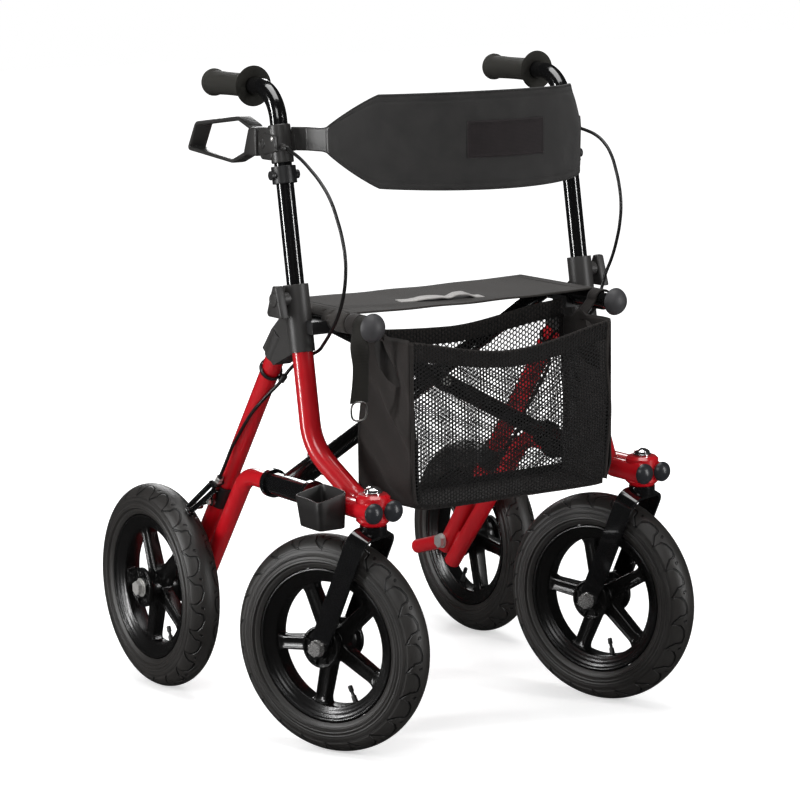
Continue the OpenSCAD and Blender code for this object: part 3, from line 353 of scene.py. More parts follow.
@dataclass(frozen=True)
class TreadRubber(Finish):
    """Tyre rubber with hooked tread blocks, on a UV map of turns and of degrees across the section.

    Hook and nick are shares of a block's length and degrees from the crown; distances are millimetres.
    """

    blocks: int = 22
    block_length: float = 40.0
    degree_length: float = 0.49
    hook: Sequence[tuple[float, float]] = (
        (0.0, 64.0), (-0.01, 50.0), (0.04, 37.0), (0.18, 26.0), (0.43, 19.0), (0.62, 21.5), (0.67, 29.0),
        (0.69, 42.0), (0.86, 56.0), (1.0, 64.0))
    nick: tuple[float, float] = (0.86, 23.0)
    nick_reach: float = 1.0
    nick_swell: float = 0.3
    groove_edges: tuple[float, float] = (0.6, 1.6)
    side_lines: tuple[float, float] = (70.0, 84.0)
    side_depth: float = 0.3
    degrees_per_unit: float = 100.0
    grain: float = 900.0
    dust: float = 14.0
    depth: float = 0.0045

    def near(self, shade: Shade, place: object, line: object, width: float) -> bpy.types.NodeSocket:
        """1 on a line, 0 away from it.

        Args:
            shade: The material under construction.
            place: Where the point is.
            line: Where the line is.
            width: Half width of the line.

        Returns:
            The line's strength.
        """
        off = shade.math("ABSOLUTE", shade.math("SUBTRACT", place, line))
        return shade.ramp(off, 1.0, 0.0, width * 0.45, width)

    def stroke(self, shade: Shade, place: object, start: Vector, end: Vector) -> bpy.types.NodeSocket:
        """Distance of a point from a straight stroke, in millimetres.

        Args:
            shade: The material under construction.
            place: The point, as a vector socket.
            start: Where the stroke starts.
            end: Where it ends.

        Returns:
            The distance.
        """
        way = end - start
        off = shade.vector("SUBTRACT", place, start).outputs[0]
        along = shade.vector("DOT_PRODUCT", off, way / way.length_squared)
        share = shade.node("Clamp", Value=along.outputs["Value"]).outputs[0]
        reach = shade.vector("SCALE", way, share, 3).outputs[0]
        apart = shade.vector("DISTANCE", off, reach)
        return apart.outputs["Value"]

    def grooves(self, shade: Shade, u: object, across: object) -> bpy.types.NodeSocket:
        """The hooked grooves of both shoulders, with a nick beside each hook.

        Args:
            shade: The material under construction.
            u: Turns around the tyre.
            across: Distance from the crown, in degrees of the section.

        Returns:
            1 in a groove, 0 on the blocks.
        """
        long, deg = self.block_length, self.degree_length
        v = shade.math("MULTIPLY", shade.math("ABSOLUTE", across), deg)
        step = shade.math("MULTIPLY", u, float(self.blocks))
        side = shade.math("MULTIPLY", shade.math("GREATER_THAN", across, 0.0), 0.5)
        f = shade.math("MULTIPLY", shade.math("FRACT", shade.math("ADD", step, side)), long)
        place = shade.node("CombineXYZ", X=f, Y=v).outputs[0]
        points = [Vector((a * long, b * deg, 0.0)) for a, b in self.hook]
        far = self.stroke(shade, place, points[0], points[1])
        for start, end in zip(points[1:], points[2:]):
            far = shade.math("MINIMUM", far, self.stroke(shade, place, start, end))
        at = Vector((self.nick[0] * long, self.nick[1] * deg, 0.0))
        reach = self.nick_reach
        dot = self.stroke(shade, place, at - Vector((0.0, reach, 0.0)), at + Vector((reach, reach, 0.0)))
        far = shade.math("MINIMUM", far, shade.math("SUBTRACT", dot, self.nick_swell))
        return shade.ramp(far, 1.0, 0.0, *self.groove_edges)

    def dress(self, shade: Shade) -> None:
        """Add the tread, the sidewall's rings and a dusty colour, with painted shade that darkens the grooves
        and side lines.

        Args:
            shade: The material under construction.
        """
        split = shade.node("SeparateXYZ", Vector=shade.coords.outputs["UV"])
        across = shade.math("MULTIPLY", split.outputs[1], self.degrees_per_unit)
        v = shade.math("ABSOLUTE", across)
        cut = self.grooves(shade, split.outputs[0], across)
        thin = shade.math("MAXIMUM", *(self.near(shade, v, line, 1.0) for line in self.side_lines))
        sides = shade.math("MULTIPLY", thin, self.side_depth)
        height = shade.math("SUBTRACT", 1.0, shade.math("MAXIMUM", cut, sides))
        height = shade.math("MULTIPLY_ADD", shade.noise(self.grain, 3.0), 0.05, height)
        dust = shade.noise(self.dust, 6.0)
        # painted shade: the colour factor is multiplied by the height, so grooves and side lines are darker;
        # the dust noise itself is dirt that differs at random
        self.tone(shade, shade.math("MULTIPLY", shade.ramp(dust, 0.25, 0.9), height), 0.85)
        self.gloss(shade, dust, 0.85, 1.15)
        shade.bump(height, self.depth)


@dataclass(frozen=True)
class Woven(Finish):
    """Woven cloth on a UV map in metres, with sheen and a slubby weave."""

    threads: float = 900.0
    depth: float = 0.00022
    sheen: float = 0.06
    sheen_roughness: float = 0.5
    specular: float = 0.25
    slubs: float = 45.0
    twill: float = 0.0
    ribs: float = 0.0

    def wave(
            self, shade: Shade, where: object, count: float, way: str, **sockets: float
    ) -> bpy.types.NodeSocket:
        """Parallel threads.

        Args:
            shade: The material under construction.
            where: The coordinates.
            count: Threads per metre.
            way: X or Y, across the threads.
            **sockets: Further inputs of the wave.

        Returns:
            The threads' height.
        """
        made = shade.node("TexWave", Vector=where, Scale=count / math.tau, **sockets)
        made.bands_direction = way
        return made.outputs["Fac"]

    def dress(self, shade: Shade) -> None:
        """Add the weave, its slubs and its sheen.

        Args:
            shade: The material under construction.
        """
        flat = shade.coords.outputs["UV"]
        turned = shade.node("Mapping", Vector=flat, Rotation=(0.0, 0.0, self.twill)).outputs[0]
        warp, weft = (self.wave(shade, turned, self.threads, way, Distortion=0.6, Detail=1.0) for way in "XY")
        weave = shade.math("MULTIPLY", warp, weft)
        slub = shade.noise(self.slubs, 5.0)
        self.tone(shade, shade.math("MULTIPLY_ADD", weave, 0.55, shade.math("MULTIPLY", slub, 0.6)), 0.5)
        self.gloss(shade, slub, 0.9, 1.1)
        shade.shader.inputs["Sheen Weight"].default_value = self.sheen
        shade.shader.inputs["Sheen Roughness"].default_value = self.sheen_roughness
        shade.shader.inputs["Specular IOR Level"].default_value = self.specular
        if self.ribs:
            weave = shade.math("MULTIPLY_ADD", weave, 0.25, self.wave(shade, flat, self.ribs, "X"))
        shade.bump(weave, self.depth)


@dataclass(frozen=True)
class Knurled(Finish):
    """Soft grip rubber with rows of small raised lozenges."""

    rows: float = 2100.0
    bloom: float = 50.0
    depth: float = 0.00035

    def dress(self, shade: Shade) -> None:
        """Add the lozenges on the grip's UV map and a dull bloom.

        Args:
            shade: The material under construction.
        """
        split = shade.node("SeparateXYZ", Vector=shade.coords.outputs["UV"])
        along, around = split.outputs[0], split.outputs[1]
        ridges = []
        for way in ("ADD", "SUBTRACT"):
            slant = shade.math("MULTIPLY", shade.math(way, along, around), self.rows)
            ridges.append(shade.math("SINE", slant))
        lozenge = shade.ramp(shade.math("MULTIPLY", *ridges), 0.0, 1.0, -0.4, 0.6)
        bloom = shade.noise(self.bloom, 4.0)
        self.tone(shade, bloom, 0.25)
        self.gloss(shade, bloom, 0.9, 1.1)
        shade.bump(lozenge, self.depth)


RED_PAINT = CoatedTube("red_paint", (0.5, 0.0028, 0.009), 0.3)
BLACK_PAINT = CoatedTube("black_paint", (0.0035, 0.0035, 0.0038), 0.16, edge=0.0012)
CASTING = Moulded("casting_plastic", (0.036, 0.0345, 0.0335), 0.42)
BLACK_PLASTIC = Moulded("black_plastic", (0.014, 0.014, 0.0145), 0.38)
SATIN_PLASTIC = Moulded("satin_plastic", (0.03, 0.029, 0.028), 0.34)
GREY_PLASTIC = Moulded("grey_plastic", (0.045, 0.044, 0.047), 0.5)
PLUG_PLASTIC = Moulded("plug_plastic", (0.02, 0.0212, 0.0245), 0.3, depth=0.00002)
RIM_PLASTIC = Moulded("rim_plastic", (0.0048, 0.0046, 0.0046), 0.24, depth=0.00003, edge=0.0025)
CUP_PLASTIC = Moulded("cup_plastic", (0.011, 0.0098, 0.0095), 0.45)
CHROME = Plated("chrome", (0.86, 0.86, 0.87), 0.16)
ZINC = Plated("zinc_steel", (0.6, 0.59, 0.57), 0.3, metal=0.6)
BOLT_STEEL = Plated("bolt_steel", (0.5, 0.49, 0.48), 0.24, metal=0.85)
GUN_METAL = Plated("gun_metal", (0.16, 0.155, 0.15), 0.32)
GRIP_RUBBER = Knurled("grip_rubber", (0.015, 0.0138, 0.0098), 0.7)
TYRE_RUBBER = TreadRubber("tyre_rubber", (0.0195, 0.018, 0.0168), 0.43)
CABLE_JACKET = Moulded("cable_jacket", (0.008, 0.008, 0.008), 0.32, depth=0.00002)
SEAT_FABRIC = Woven("seat_fabric", (0.034, 0.0305, 0.0278), 0.9, threads=1100.0)
BAG_FABRIC = Woven("bag_fabric", (0.022, 0.0185, 0.017), 0.8, threads=1300.0)
BELT_FABRIC = Woven(
    "belt_fabric", (0.028, 0.027, 0.0265), 0.82, threads=1500.0, depth=0.00012, twill=0.785)
PATCH_FABRIC = Woven("patch_fabric", (0.017, 0.013, 0.014), 0.8, threads=1100.0)
BLACK_WEBBING = Woven(
    "black_webbing", (0.017, 0.0152, 0.0112), 0.78, threads=2600.0, depth=0.0007, ribs=2200.0)
GREY_WEBBING = Woven("webbing", (0.5, 0.485, 0.47), 0.85, threads=1500.0, depth=0.0005)
NET_CORD = Woven("mesh", (0.011, 0.0105, 0.0105), 0.7, threads=5000.0)
THREAD = Woven("thread", (0.03, 0.03, 0.03), 0.9, threads=4000.0)

BY_SLOT: dict[str, Finish] = {
    made.name: made
    for made in (
        RED_PAINT, BLACK_PAINT, CASTING, BLACK_PLASTIC, GREY_PLASTIC, RIM_PLASTIC, CHROME, ZINC,
        GRIP_RUBBER, TYRE_RUBBER, CABLE_JACKET, SEAT_FABRIC, BAG_FABRIC, BELT_FABRIC, BLACK_WEBBING,
        GREY_WEBBING, NET_CORD)
}


def smooth_step(t: float) -> float:
    """Ease a share from 0 to 1."""
    t = min(1.0, max(0.0, t))
    return t * t * (3 - 2 * t)


def bell(x: float, middle: float, wide: float) -> float:
    """Height of a soft bump that is 1 at its middle."""
    return math.exp(-((x - middle) / wide) ** 2)


def square_off(share: float, power: float) -> float:
    """Push a share from -1 to 1 towards its ends, which makes a round section squarish."""
    return math.copysign(abs(share) ** power, share)


def unrolled(co: Vector, about: float) -> float:
    """Angle of a point around Z, on the same turn as another angle."""
    turn = math.atan2(co.y, co.x)
    return turn + math.tau * round((about - turn) / math.tau)


def sleeve(inner: float, outer: float, half: float, ease: float) -> list[tuple[float, float]]:
    """Closed profile of a sleeve with eased outer edges.

    Args:
        inner: Inner radius.
        outer: Outer radius.
        half: Half of its length.
        ease: How far the edges are cut back from the outer radius.

    Returns:
        The points for a lathe.
    """
    flank = [(inner, half), (outer - ease, half), (outer, half - SLEEVE_EASE)]
    return [(r, -z) for r, z in flank] + flank[::-1]


def fillet(points: Sequence[Vector], radius: float, steps: int = 6) -> list[Vector]:
    """Round the corners of a closed outline.

    Args:
        points: The corners.
        radius: How far from a corner the rounding starts.
        steps: Points over each corner, less one.

    Returns:
        The rounded outline.
    """
    made = []
    for i, at in enumerate(points):
        before, after = points[i - 1] - at, points[(i + 1) % len(points)] - at
        back = min(radius, 0.45 * before.length, 0.45 * after.length)
        start, end = at + before.normalized() * back, at + after.normalized() * back
        made += [start.lerp(at, k / steps).lerp(at.lerp(end, k / steps), k / steps) for k in range(steps + 1)]
    return made


def towards(way: Vector, at: Vector) -> Matrix:
    """Matrix that takes local Z to a direction and the origin to a point."""
    return Matrix.Translation(at) @ Vector((0.0, 0.0, 1.0)).rotation_difference(way).to_matrix().to_4x4()


class Piece:
    """A bmesh under construction that ends as one object on a body."""

    def __init__(self, name: str) -> None:
        """Start an empty mesh.

        Args:
            name: The piece's name.
        """
        self.name = name
        self.bm = bmesh.new()
        self.uv = self.bm.loops.layers.uv.new("UVMap")

    def grid(
            self, columns: int, rows: int, place: Callable[[float, float], Vector], size: tuple[float, float]
    ) -> None:
        """Add a grid and lay it on a surface.

        Args:
            columns: Faces along the first way.
            rows: Faces along the second way.
            place: Point of the surface for two shares from 0 to 1.
            size: Lengths of the two ways in metres, for the weave.
        """
        verts = bmesh.ops.create_grid(self.bm, x_segments=columns, y_segments=rows, size=0.5)["verts"]
        shares = {v: (v.co.x + 0.5, v.co.y + 0.5) for v in verts}
        for face in {f for v in verts for f in v.link_faces}:
            for loop in face.loops:
                u, w = shares[loop.vert]
                loop[self.uv].uv = (u * size[0], w * size[1])
        for v, (u, w) in shares.items():
            v.co = place(u, w)

    def block(self, low: Point, high: Point, bevel: float = 0.0, place: Matrix = Matrix.Identity(4)) -> None:
        """Add a block between two corners, with rounded edges.

        Args:
            low: Lowest corner.
            high: Highest corner.
            bevel: Radius of the edges.
            place: Matrix that takes the block to its place.
        """
        a, b = Vector(low), Vector(high)
        verts = bmesh.ops.create_cube(self.bm, size=1.0, calc_uvs=True)["verts"]
        for v in verts:
            v.co = place @ Vector((a[i] + (v.co[i] + 0.5) * (b[i] - a[i]) for i in range(3)))
        if bevel:
            self.bevel({e for v in verts for e in v.link_edges}, bevel)
        self.mark()

    def bevel(self, edges: Iterable[bmesh.types.BMEdge], radius: float) -> None:
        """Round edges over.

        Args:
            edges: The edges.
            radius: Radius of the rounding.
        """
        bmesh.ops.bevel(
            self.bm, geom=list(edges), offset=radius, segments=3, profile=0.5, affect="EDGES",
            material=-1, clamp_overlap=True)

    def lathe(
            self, profile: Sequence[tuple[float, float]], place: Matrix, steps: int = 48, closed: bool = False
    ) -> None:
        """Spin a profile of (radius, along) points around an axis.

        Args:
            profile: The points, from one end to the other.
            place: Matrix that takes the axis, local Z, to its place.
            steps: Faces around.
            closed: Whether the profile is a closed loop.
        """
        verts = [self.bm.verts.new((r, 0.0, z)) for r, z in profile]
        pairs = list(zip(verts, verts[1:])) + ([(verts[-1], verts[0])] if closed else [])
        edges = [self.bm.edges.new(p) for p in pairs]
        bmesh.ops.spin(
            self.bm, geom=verts + edges, cent=(0, 0, 0), axis=(0, 0, 1), dvec=(0, 0, 0), angle=math.tau,
            steps=steps, use_merge=True, use_duplicate=False)
        bmesh.ops.remove_doubles(self.bm, verts=self.fresh(), dist=MERGE)
        fresh = self.fresh()
        faces = list({f for v in fresh for f in v.link_faces})
        for face in faces:
            middle = face.calc_center_median()
            about = math.atan2(middle.y, middle.x)
            for loop in face.loops:
                loop[self.uv].uv = (unrolled(loop.vert.co, about) * 0.02, loop.vert.co.z)
        bmesh.ops.recalc_face_normals(self.bm, faces=faces)
        bmesh.ops.transform(self.bm, matrix=place, verts=fresh)
        self.mark()

    def sweep(self, rings: Sequence[Sequence[Vector]]) -> None:
        """Skin a closed row of rings, each a closed row of the same number of points.

        Args:
            rings: The rings in order; the last one joins the first one.
        """
        count, around = len(rings), len(rings[0])

        def pick(u: float, w: float) -> Vector:
            """Point of the ring and place that two shares stand for."""
            return Vector(rings[round(u * count) % count][round(w * around) % around])

        length = sum((Vector(b[0]) - Vector(a[0])).length for a, b in zip(rings, rings[1:]))
        self.grid(count, around, pick, (length, 0.02))
        bmesh.ops.remove_doubles(self.bm, verts=self.fresh(), dist=MERGE)
        bmesh.ops.recalc_face_normals(self.bm, faces=list({f for v in self.fresh() for f in v.link_faces}))
        self.mark()

    def plate(self, outline: Sequence[tuple[float, float]], low: float, high: float, bevel: float) -> None:
        """Add a flat plate with rounded edges, its outline in Y and Z and its thickness along X.

        Args:
            outline: The corners.
            low: Where the thickness starts.
            high: Where it ends.
            bevel: Radius of the edges.
        """
        verts = [self.bm.verts.new((low, y, z)) for y, z in outline]
        face = self.bm.faces.new(verts)
        raised = bmesh.ops.extrude_face_region(self.bm, geom=[face])["geom"]
        moved = [g for g in raised if isinstance(g, bmesh.types.BMVert)]
        bmesh.ops.translate(self.bm, vec=(high - low, 0, 0), verts=moved)
        made = verts + moved
        bmesh.ops.recalc_face_normals(self.bm, faces=list({f for v in made for f in v.link_faces}))
        self.bevel({e for v in made for e in v.link_edges}, bevel)
        self.mark()

    def fresh(self) -> list[bmesh.types.BMVert]:
        """Vertices that no earlier call has placed."""
        return [v for v in self.bm.verts if not v.tag]

    def face_out(self) -> None:
        """Turn all faces outward."""
        bmesh.ops.recalc_face_normals(self.bm, faces=self.bm.faces[:])

    def mark(self) -> None:
        """Mark all present vertices as placed."""
        for v in self.bm.verts:
            v.tag = True

    def finish(self, finish: Finish, slot: str, smooth: bool = True, sharp: float = 40.0) -> bpy.types.Object:
        """Close the bmesh into an object.

        Args:
            finish: The piece's finish.
            slot: The record's material slot; not used.
            smooth: Whether faces are shaded smooth.
            sharp: Angle in degrees past which an edge stays sharp.

        Returns:
            The object.
        """
        mesh = bpy.data.meshes.new(self.name)
        for face in self.bm.faces:
            face.smooth = smooth
        limit = math.radians(sharp)
        for edge in self.bm.edges:
            edge.smooth = len(edge.link_faces) != 2 or edge.calc_face_angle(0.0) < limit
        self.bm.to_mesh(mesh)
        self.bm.free()
        made = bpy.data.objects.new(self.name, mesh)
        bpy.context.scene.collection.objects.link(made)
        made.data.materials.append(finish.build())
        LOG.info("piece %s: %d faces", self.name, len(mesh.polygons))
        return made


def thicken(piece: bpy.types.Object, thickness: float, levels: int = 0) -> float:
    """Give a cloth piece its thickness, smooth it and make that mesh its own.

    Args:
        piece: The object.
        thickness: Thickness in metres, half to each side.
        levels: Subdivision levels.

    Returns:
        The cloth's area before it was thickened.
    """
    area = sum(f.area for f in piece.data.polygons)
    solid = piece.modifiers.new("thickness", "SOLIDIFY")
    solid.thickness = thickness
    solid.offset = 0.0
    if levels:
        rounded = piece.modifiers.new("soft", "SUBSURF")
        rounded.levels = levels
        rounded.render_levels = levels
    graph = bpy.context.evaluated_depsgraph_get()
    graph.update()
    done = bpy.data.meshes.new_from_object(
        piece.evaluated_get(graph), preserve_all_data_layers=True, depsgraph=graph)
    piece.modifiers.clear()
    old = piece.data
    piece.data = done
    bpy.data.meshes.remove(old)
    return area


def close_with_seat(piece: bpy.types.Object) -> None:
    """Let a piece ride on the seat, with a mesh of its own."""
    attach(piece, "seat")
    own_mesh(piece)


@dataclass
class Studio:
    """Camera at the photograph's angle, pale floor and soft light."""

    eye: Point = (-2.4047, -3.7343, 1.2108)
    yaw: float = 32.84
    pitch: float = -9.858
    roll: float = -0.806
    lens: float = 136.04
    ambient: float = 0.22
    mirrored: float = 0.02

    def camera(self) -> None:
        """Add the camera."""
        yaw, pitch, roll = (math.radians(a) for a in (self.yaw, self.pitch, self.roll))
        ahead = Vector((math.sin(yaw) * math.cos(pitch), math.cos(yaw) * math.cos(pitch), math.sin(pitch)))
        right = Vector((math.cos(yaw), -math.sin(yaw), 0.0))
        up = right.cross(ahead)
        right, up = right * math.cos(roll) + up * math.sin(roll), up * math.cos(roll) - right * math.sin(roll)
        data = bpy.data.cameras.new("photo_camera")
        data.lens = self.lens
        data.sensor_width = 36.0
        data.clip_end = 60.0
        made = bpy.data.objects.new("photo_camera", data)
        turn = Matrix((right, up, -ahead)).transposed()
        made.matrix_world = Matrix.Translation(self.eye) @ turn.to_4x4()
        bpy.context.scene.collection.objects.link(made)
        bpy.context.scene.camera = made

    def lamp(self, name: str, place: Point, aim: Point, size: tuple[float, float], power: float) -> None:
        """Add a softbox.

        Args:
            name: The lamp's name.
            place: Where it stands.
            aim: What it points at.
            size: Its width and height in metres.
            power: Its power in watts.
        """
        data = bpy.data.lights.new(name, "AREA")
        data.shape = "RECTANGLE"
        data.size, data.size_y = size
        data.energy = power
        made = bpy.data.objects.new(name, data)
        made.location = place
        made.rotation_euler = (Vector(aim) - Vector(place)).to_track_quat("-Z", "Y").to_euler()
        bpy.context.scene.collection.objects.link(made)

    def world(self) -> None:
        """Add a white background that lights the part softly."""
        world = bpy.data.worlds.new("studio")
        bpy.context.scene.world = world
        world.use_nodes = True
        nodes, links = world.node_tree.nodes, world.node_tree.links
        back = nodes["Background"]
        back.inputs["Color"].default_value = (1.0, 1.0, 1.0, 1.0)
        path = nodes.new("ShaderNodeLightPath")
        seen = nodes.new("ShaderNodeMath")
        seen.operation = "MAXIMUM"
        links.new(path.outputs["Is Camera Ray"], seen.inputs[0])
        links.new(path.outputs["Is Transmission Ray"], seen.inputs[1])
        mirrored = nodes.new("ShaderNodeMapRange")
        mirrored.inputs["To Min"].default_value = self.ambient
        mirrored.inputs["To Max"].default_value = self.mirrored
        links.new(path.outputs["Is Glossy Ray"], mirrored.inputs["Value"])
        strength = nodes.new("ShaderNodeMapRange")
        strength.inputs["To Max"].default_value = 1.0
        links.new(mirrored.outputs[0], strength.inputs["To Min"])
        links.new(seen.outputs[0], strength.inputs["Value"])
        links.new(strength.outputs[0], back.inputs["Strength"])

    def floor(self) -> None:
        """Add the floor, white to the camera apart from the part's shadow."""
        bm = bmesh.new()
        bmesh.ops.create_grid(bm, x_segments=2, y_segments=2, size=14.0)
        mesh = bpy.data.meshes.new("floor")
        bm.to_mesh(mesh)
        bm.free()
        made = bpy.data.objects.new("floor", mesh)
        made.location = (0.0, 0.0, -0.0005)
        made.visible_glossy = False
        bpy.context.scene.collection.objects.link(made)
        shade = Shade("studio_floor")
        shade.shader.inputs["Base Color"].default_value = (0.86, 0.86, 0.86, 1.0)
        shade.put(shade.shader.inputs["Roughness"], shade.ramp(shade.noise(2.0), 0.85, 0.95))
        shade.shader.inputs["Emission Color"].default_value = (1.0, 1.0, 1.0, 1.0)
        path = shade.tree.nodes.new("ShaderNodeLightPath")
        apart = shade.node("VectorMath", Vector=shade.coords.outputs["Object"])
        apart.operation = "LENGTH"
        far = shade.ramp(apart.outputs["Value"], 0.5, 1.0, 0.9, 2.6)
        glow = shade.math("MULTIPLY", path.outputs["Is Camera Ray"], far)
        shade.put(shade.shader.inputs["Emission Strength"], glow)
        made.data.materials.append(shade.material)

    def build(self) -> None:
        """Add the whole studio."""
        bpy.context.scene.view_settings.view_transform = "Standard"
        self.camera()
        self.world()
        self.floor()
        self.lamp("left_strip", (-2.85, 0.7, 1.0), (0.0, 0.0, 0.6), (0.2, 2.2), 62.0)
        self.lamp("right_strip", (1.5, -2.9, 1.1), (0.0, 0.0, 0.6), (0.18, 2.2), 42.0)
        self.lamp("front", (-2.6, -2.9, 2.6), (0.0, 0.0, 0.5), (1.4, 1.4), 26.0)
        self.lamp("top", (0.0, -0.2, 3.1), (0.0, 0.0, 0.4), (2.0, 2.0), 52.0)
        self.lamp("back", (1.2, 2.8, 1.8), (0.0, 0.0, 0.5), (1.2, 1.2), 30.0)
        LOG.info("studio ready")


@dataclass
class BrakeCables:
    """The two brake cables, from the brake housings to the rear brakes."""

    diameter: float = 0.005
    bow_x: float = 0.256
    bow_y: float = -0.2
    bow_z: tuple[float, float] = (0.56, 0.8)
    left_bow: Sequence[Point] = (
        (0.252, -0.11306, 0.838), (0.252, -0.12106, 0.8372), (0.254, -0.13106, 0.8349),
        (0.255, -0.15966, 0.8256), (0.256, -0.18796, 0.8123), (0.257, -0.21586, 0.7962),
        (0.257, -0.239, 0.7757), (0.257, -0.2565, 0.7493), (0.257, -0.269, 0.7226),
        (0.257, -0.2751, 0.6984), (0.257, -0.2752, 0.6779), (0.256, -0.2701, 0.6567),
        (0.254, -0.2598, 0.6362), (0.250, -0.2404, 0.6129), (0.242, -0.2091, 0.5885),
        (0.232, -0.1728, 0.5662), (0.2235, -0.146, 0.5535)
    )
    right_bow: Sequence[Point] = (
        (0.252, -0.11306, 0.838), (0.252, -0.12106, 0.8372), (0.253, -0.13306, 0.8352),
        (0.255, -0.15406, 0.8297), (0.256, -0.17306, 0.820), (0.256, -0.190, 0.8045),
        (0.256, -0.203, 0.7805), (0.256, -0.2113, 0.756), (0.256, -0.2147, 0.731),
        (0.256, -0.212, 0.705), (0.256, -0.205, 0.6805), (0.255, -0.1938, 0.652),
        (0.252, -0.183, 0.628), (0.2485, -0.178, 0.607), (0.2435, -0.1755, 0.5875),
        (0.2365, -0.1705, 0.5715), (0.229, -0.1595, 0.5585), (0.2238, -0.1435, 0.5512)
    )
    low: Sequence[Point] = (
        (0.2225, -0.127, 0.546), (0.223, -0.109, 0.539), (0.2245, -0.091, 0.531),
        (0.227, -0.0775, 0.5215), (0.23048, -0.06745, 0.511), (0.23696, -0.05854, 0.497),
        (0.24574, -0.04754, 0.4829), (0.25293, -0.03473, 0.4689), (0.2575, -0.01916, 0.4539),
        (0.25999, 0.00019, 0.434), (0.26123, 0.02117, 0.4106), (0.26247, 0.0418, 0.387),
        (0.264, 0.0543, 0.3668), (0.264, 0.0725, 0.3431)
    )

    def build(self, side: Side) -> bpy.types.Object:
        """Args:
            side: Which cable.

        Returns:
            The cable.
        """
        bow = self.left_bow if side is Side.LEFT else self.right_bow
        points = [Vector((x * side.value, y, z)) for x, y, z in (*bow, *self.low)]
        name = f"cable_{side.word}"
        curve = bpy.data.curves.new(name, "CURVE")
        curve.dimensions = "3D"
        curve.bevel_depth = self.diameter / 2
        curve.bevel_resolution = 4
        curve.resolution_u = 6
        curve.use_fill_caps = True
        spline = curve.splines.new("BEZIER")
        spline.bezier_points.add(len(points) - 1)
        for knot, at in zip(spline.bezier_points, points):
            knot.co = at
            knot.handle_left_type = knot.handle_right_type = "AUTO"
        source = bpy.data.objects.new(name + "_route", curve)
        bpy.context.scene.collection.objects.link(source)
        graph = bpy.context.evaluated_depsgraph_get()
        mesh = bpy.data.meshes.new_from_object(source.evaluated_get(graph))
        bpy.data.objects.remove(source)
        made = bpy.data.objects.new(name, mesh)
        bpy.context.scene.collection.objects.link(made)
        mesh.materials.clear()
        mesh.materials.append(CABLE_JACKET.build())
        for face in mesh.polygons:
            face.use_smooth = True
        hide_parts(f"brake_cable_{side.word}")
        start, end = ((self.bow_x * side.value, self.bow_y, z) for z in self.bow_z)
        f"{side.word}_frame"
        f"{side.word}_handle"
        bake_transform(made)
        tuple(start)
        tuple(end)
        return made


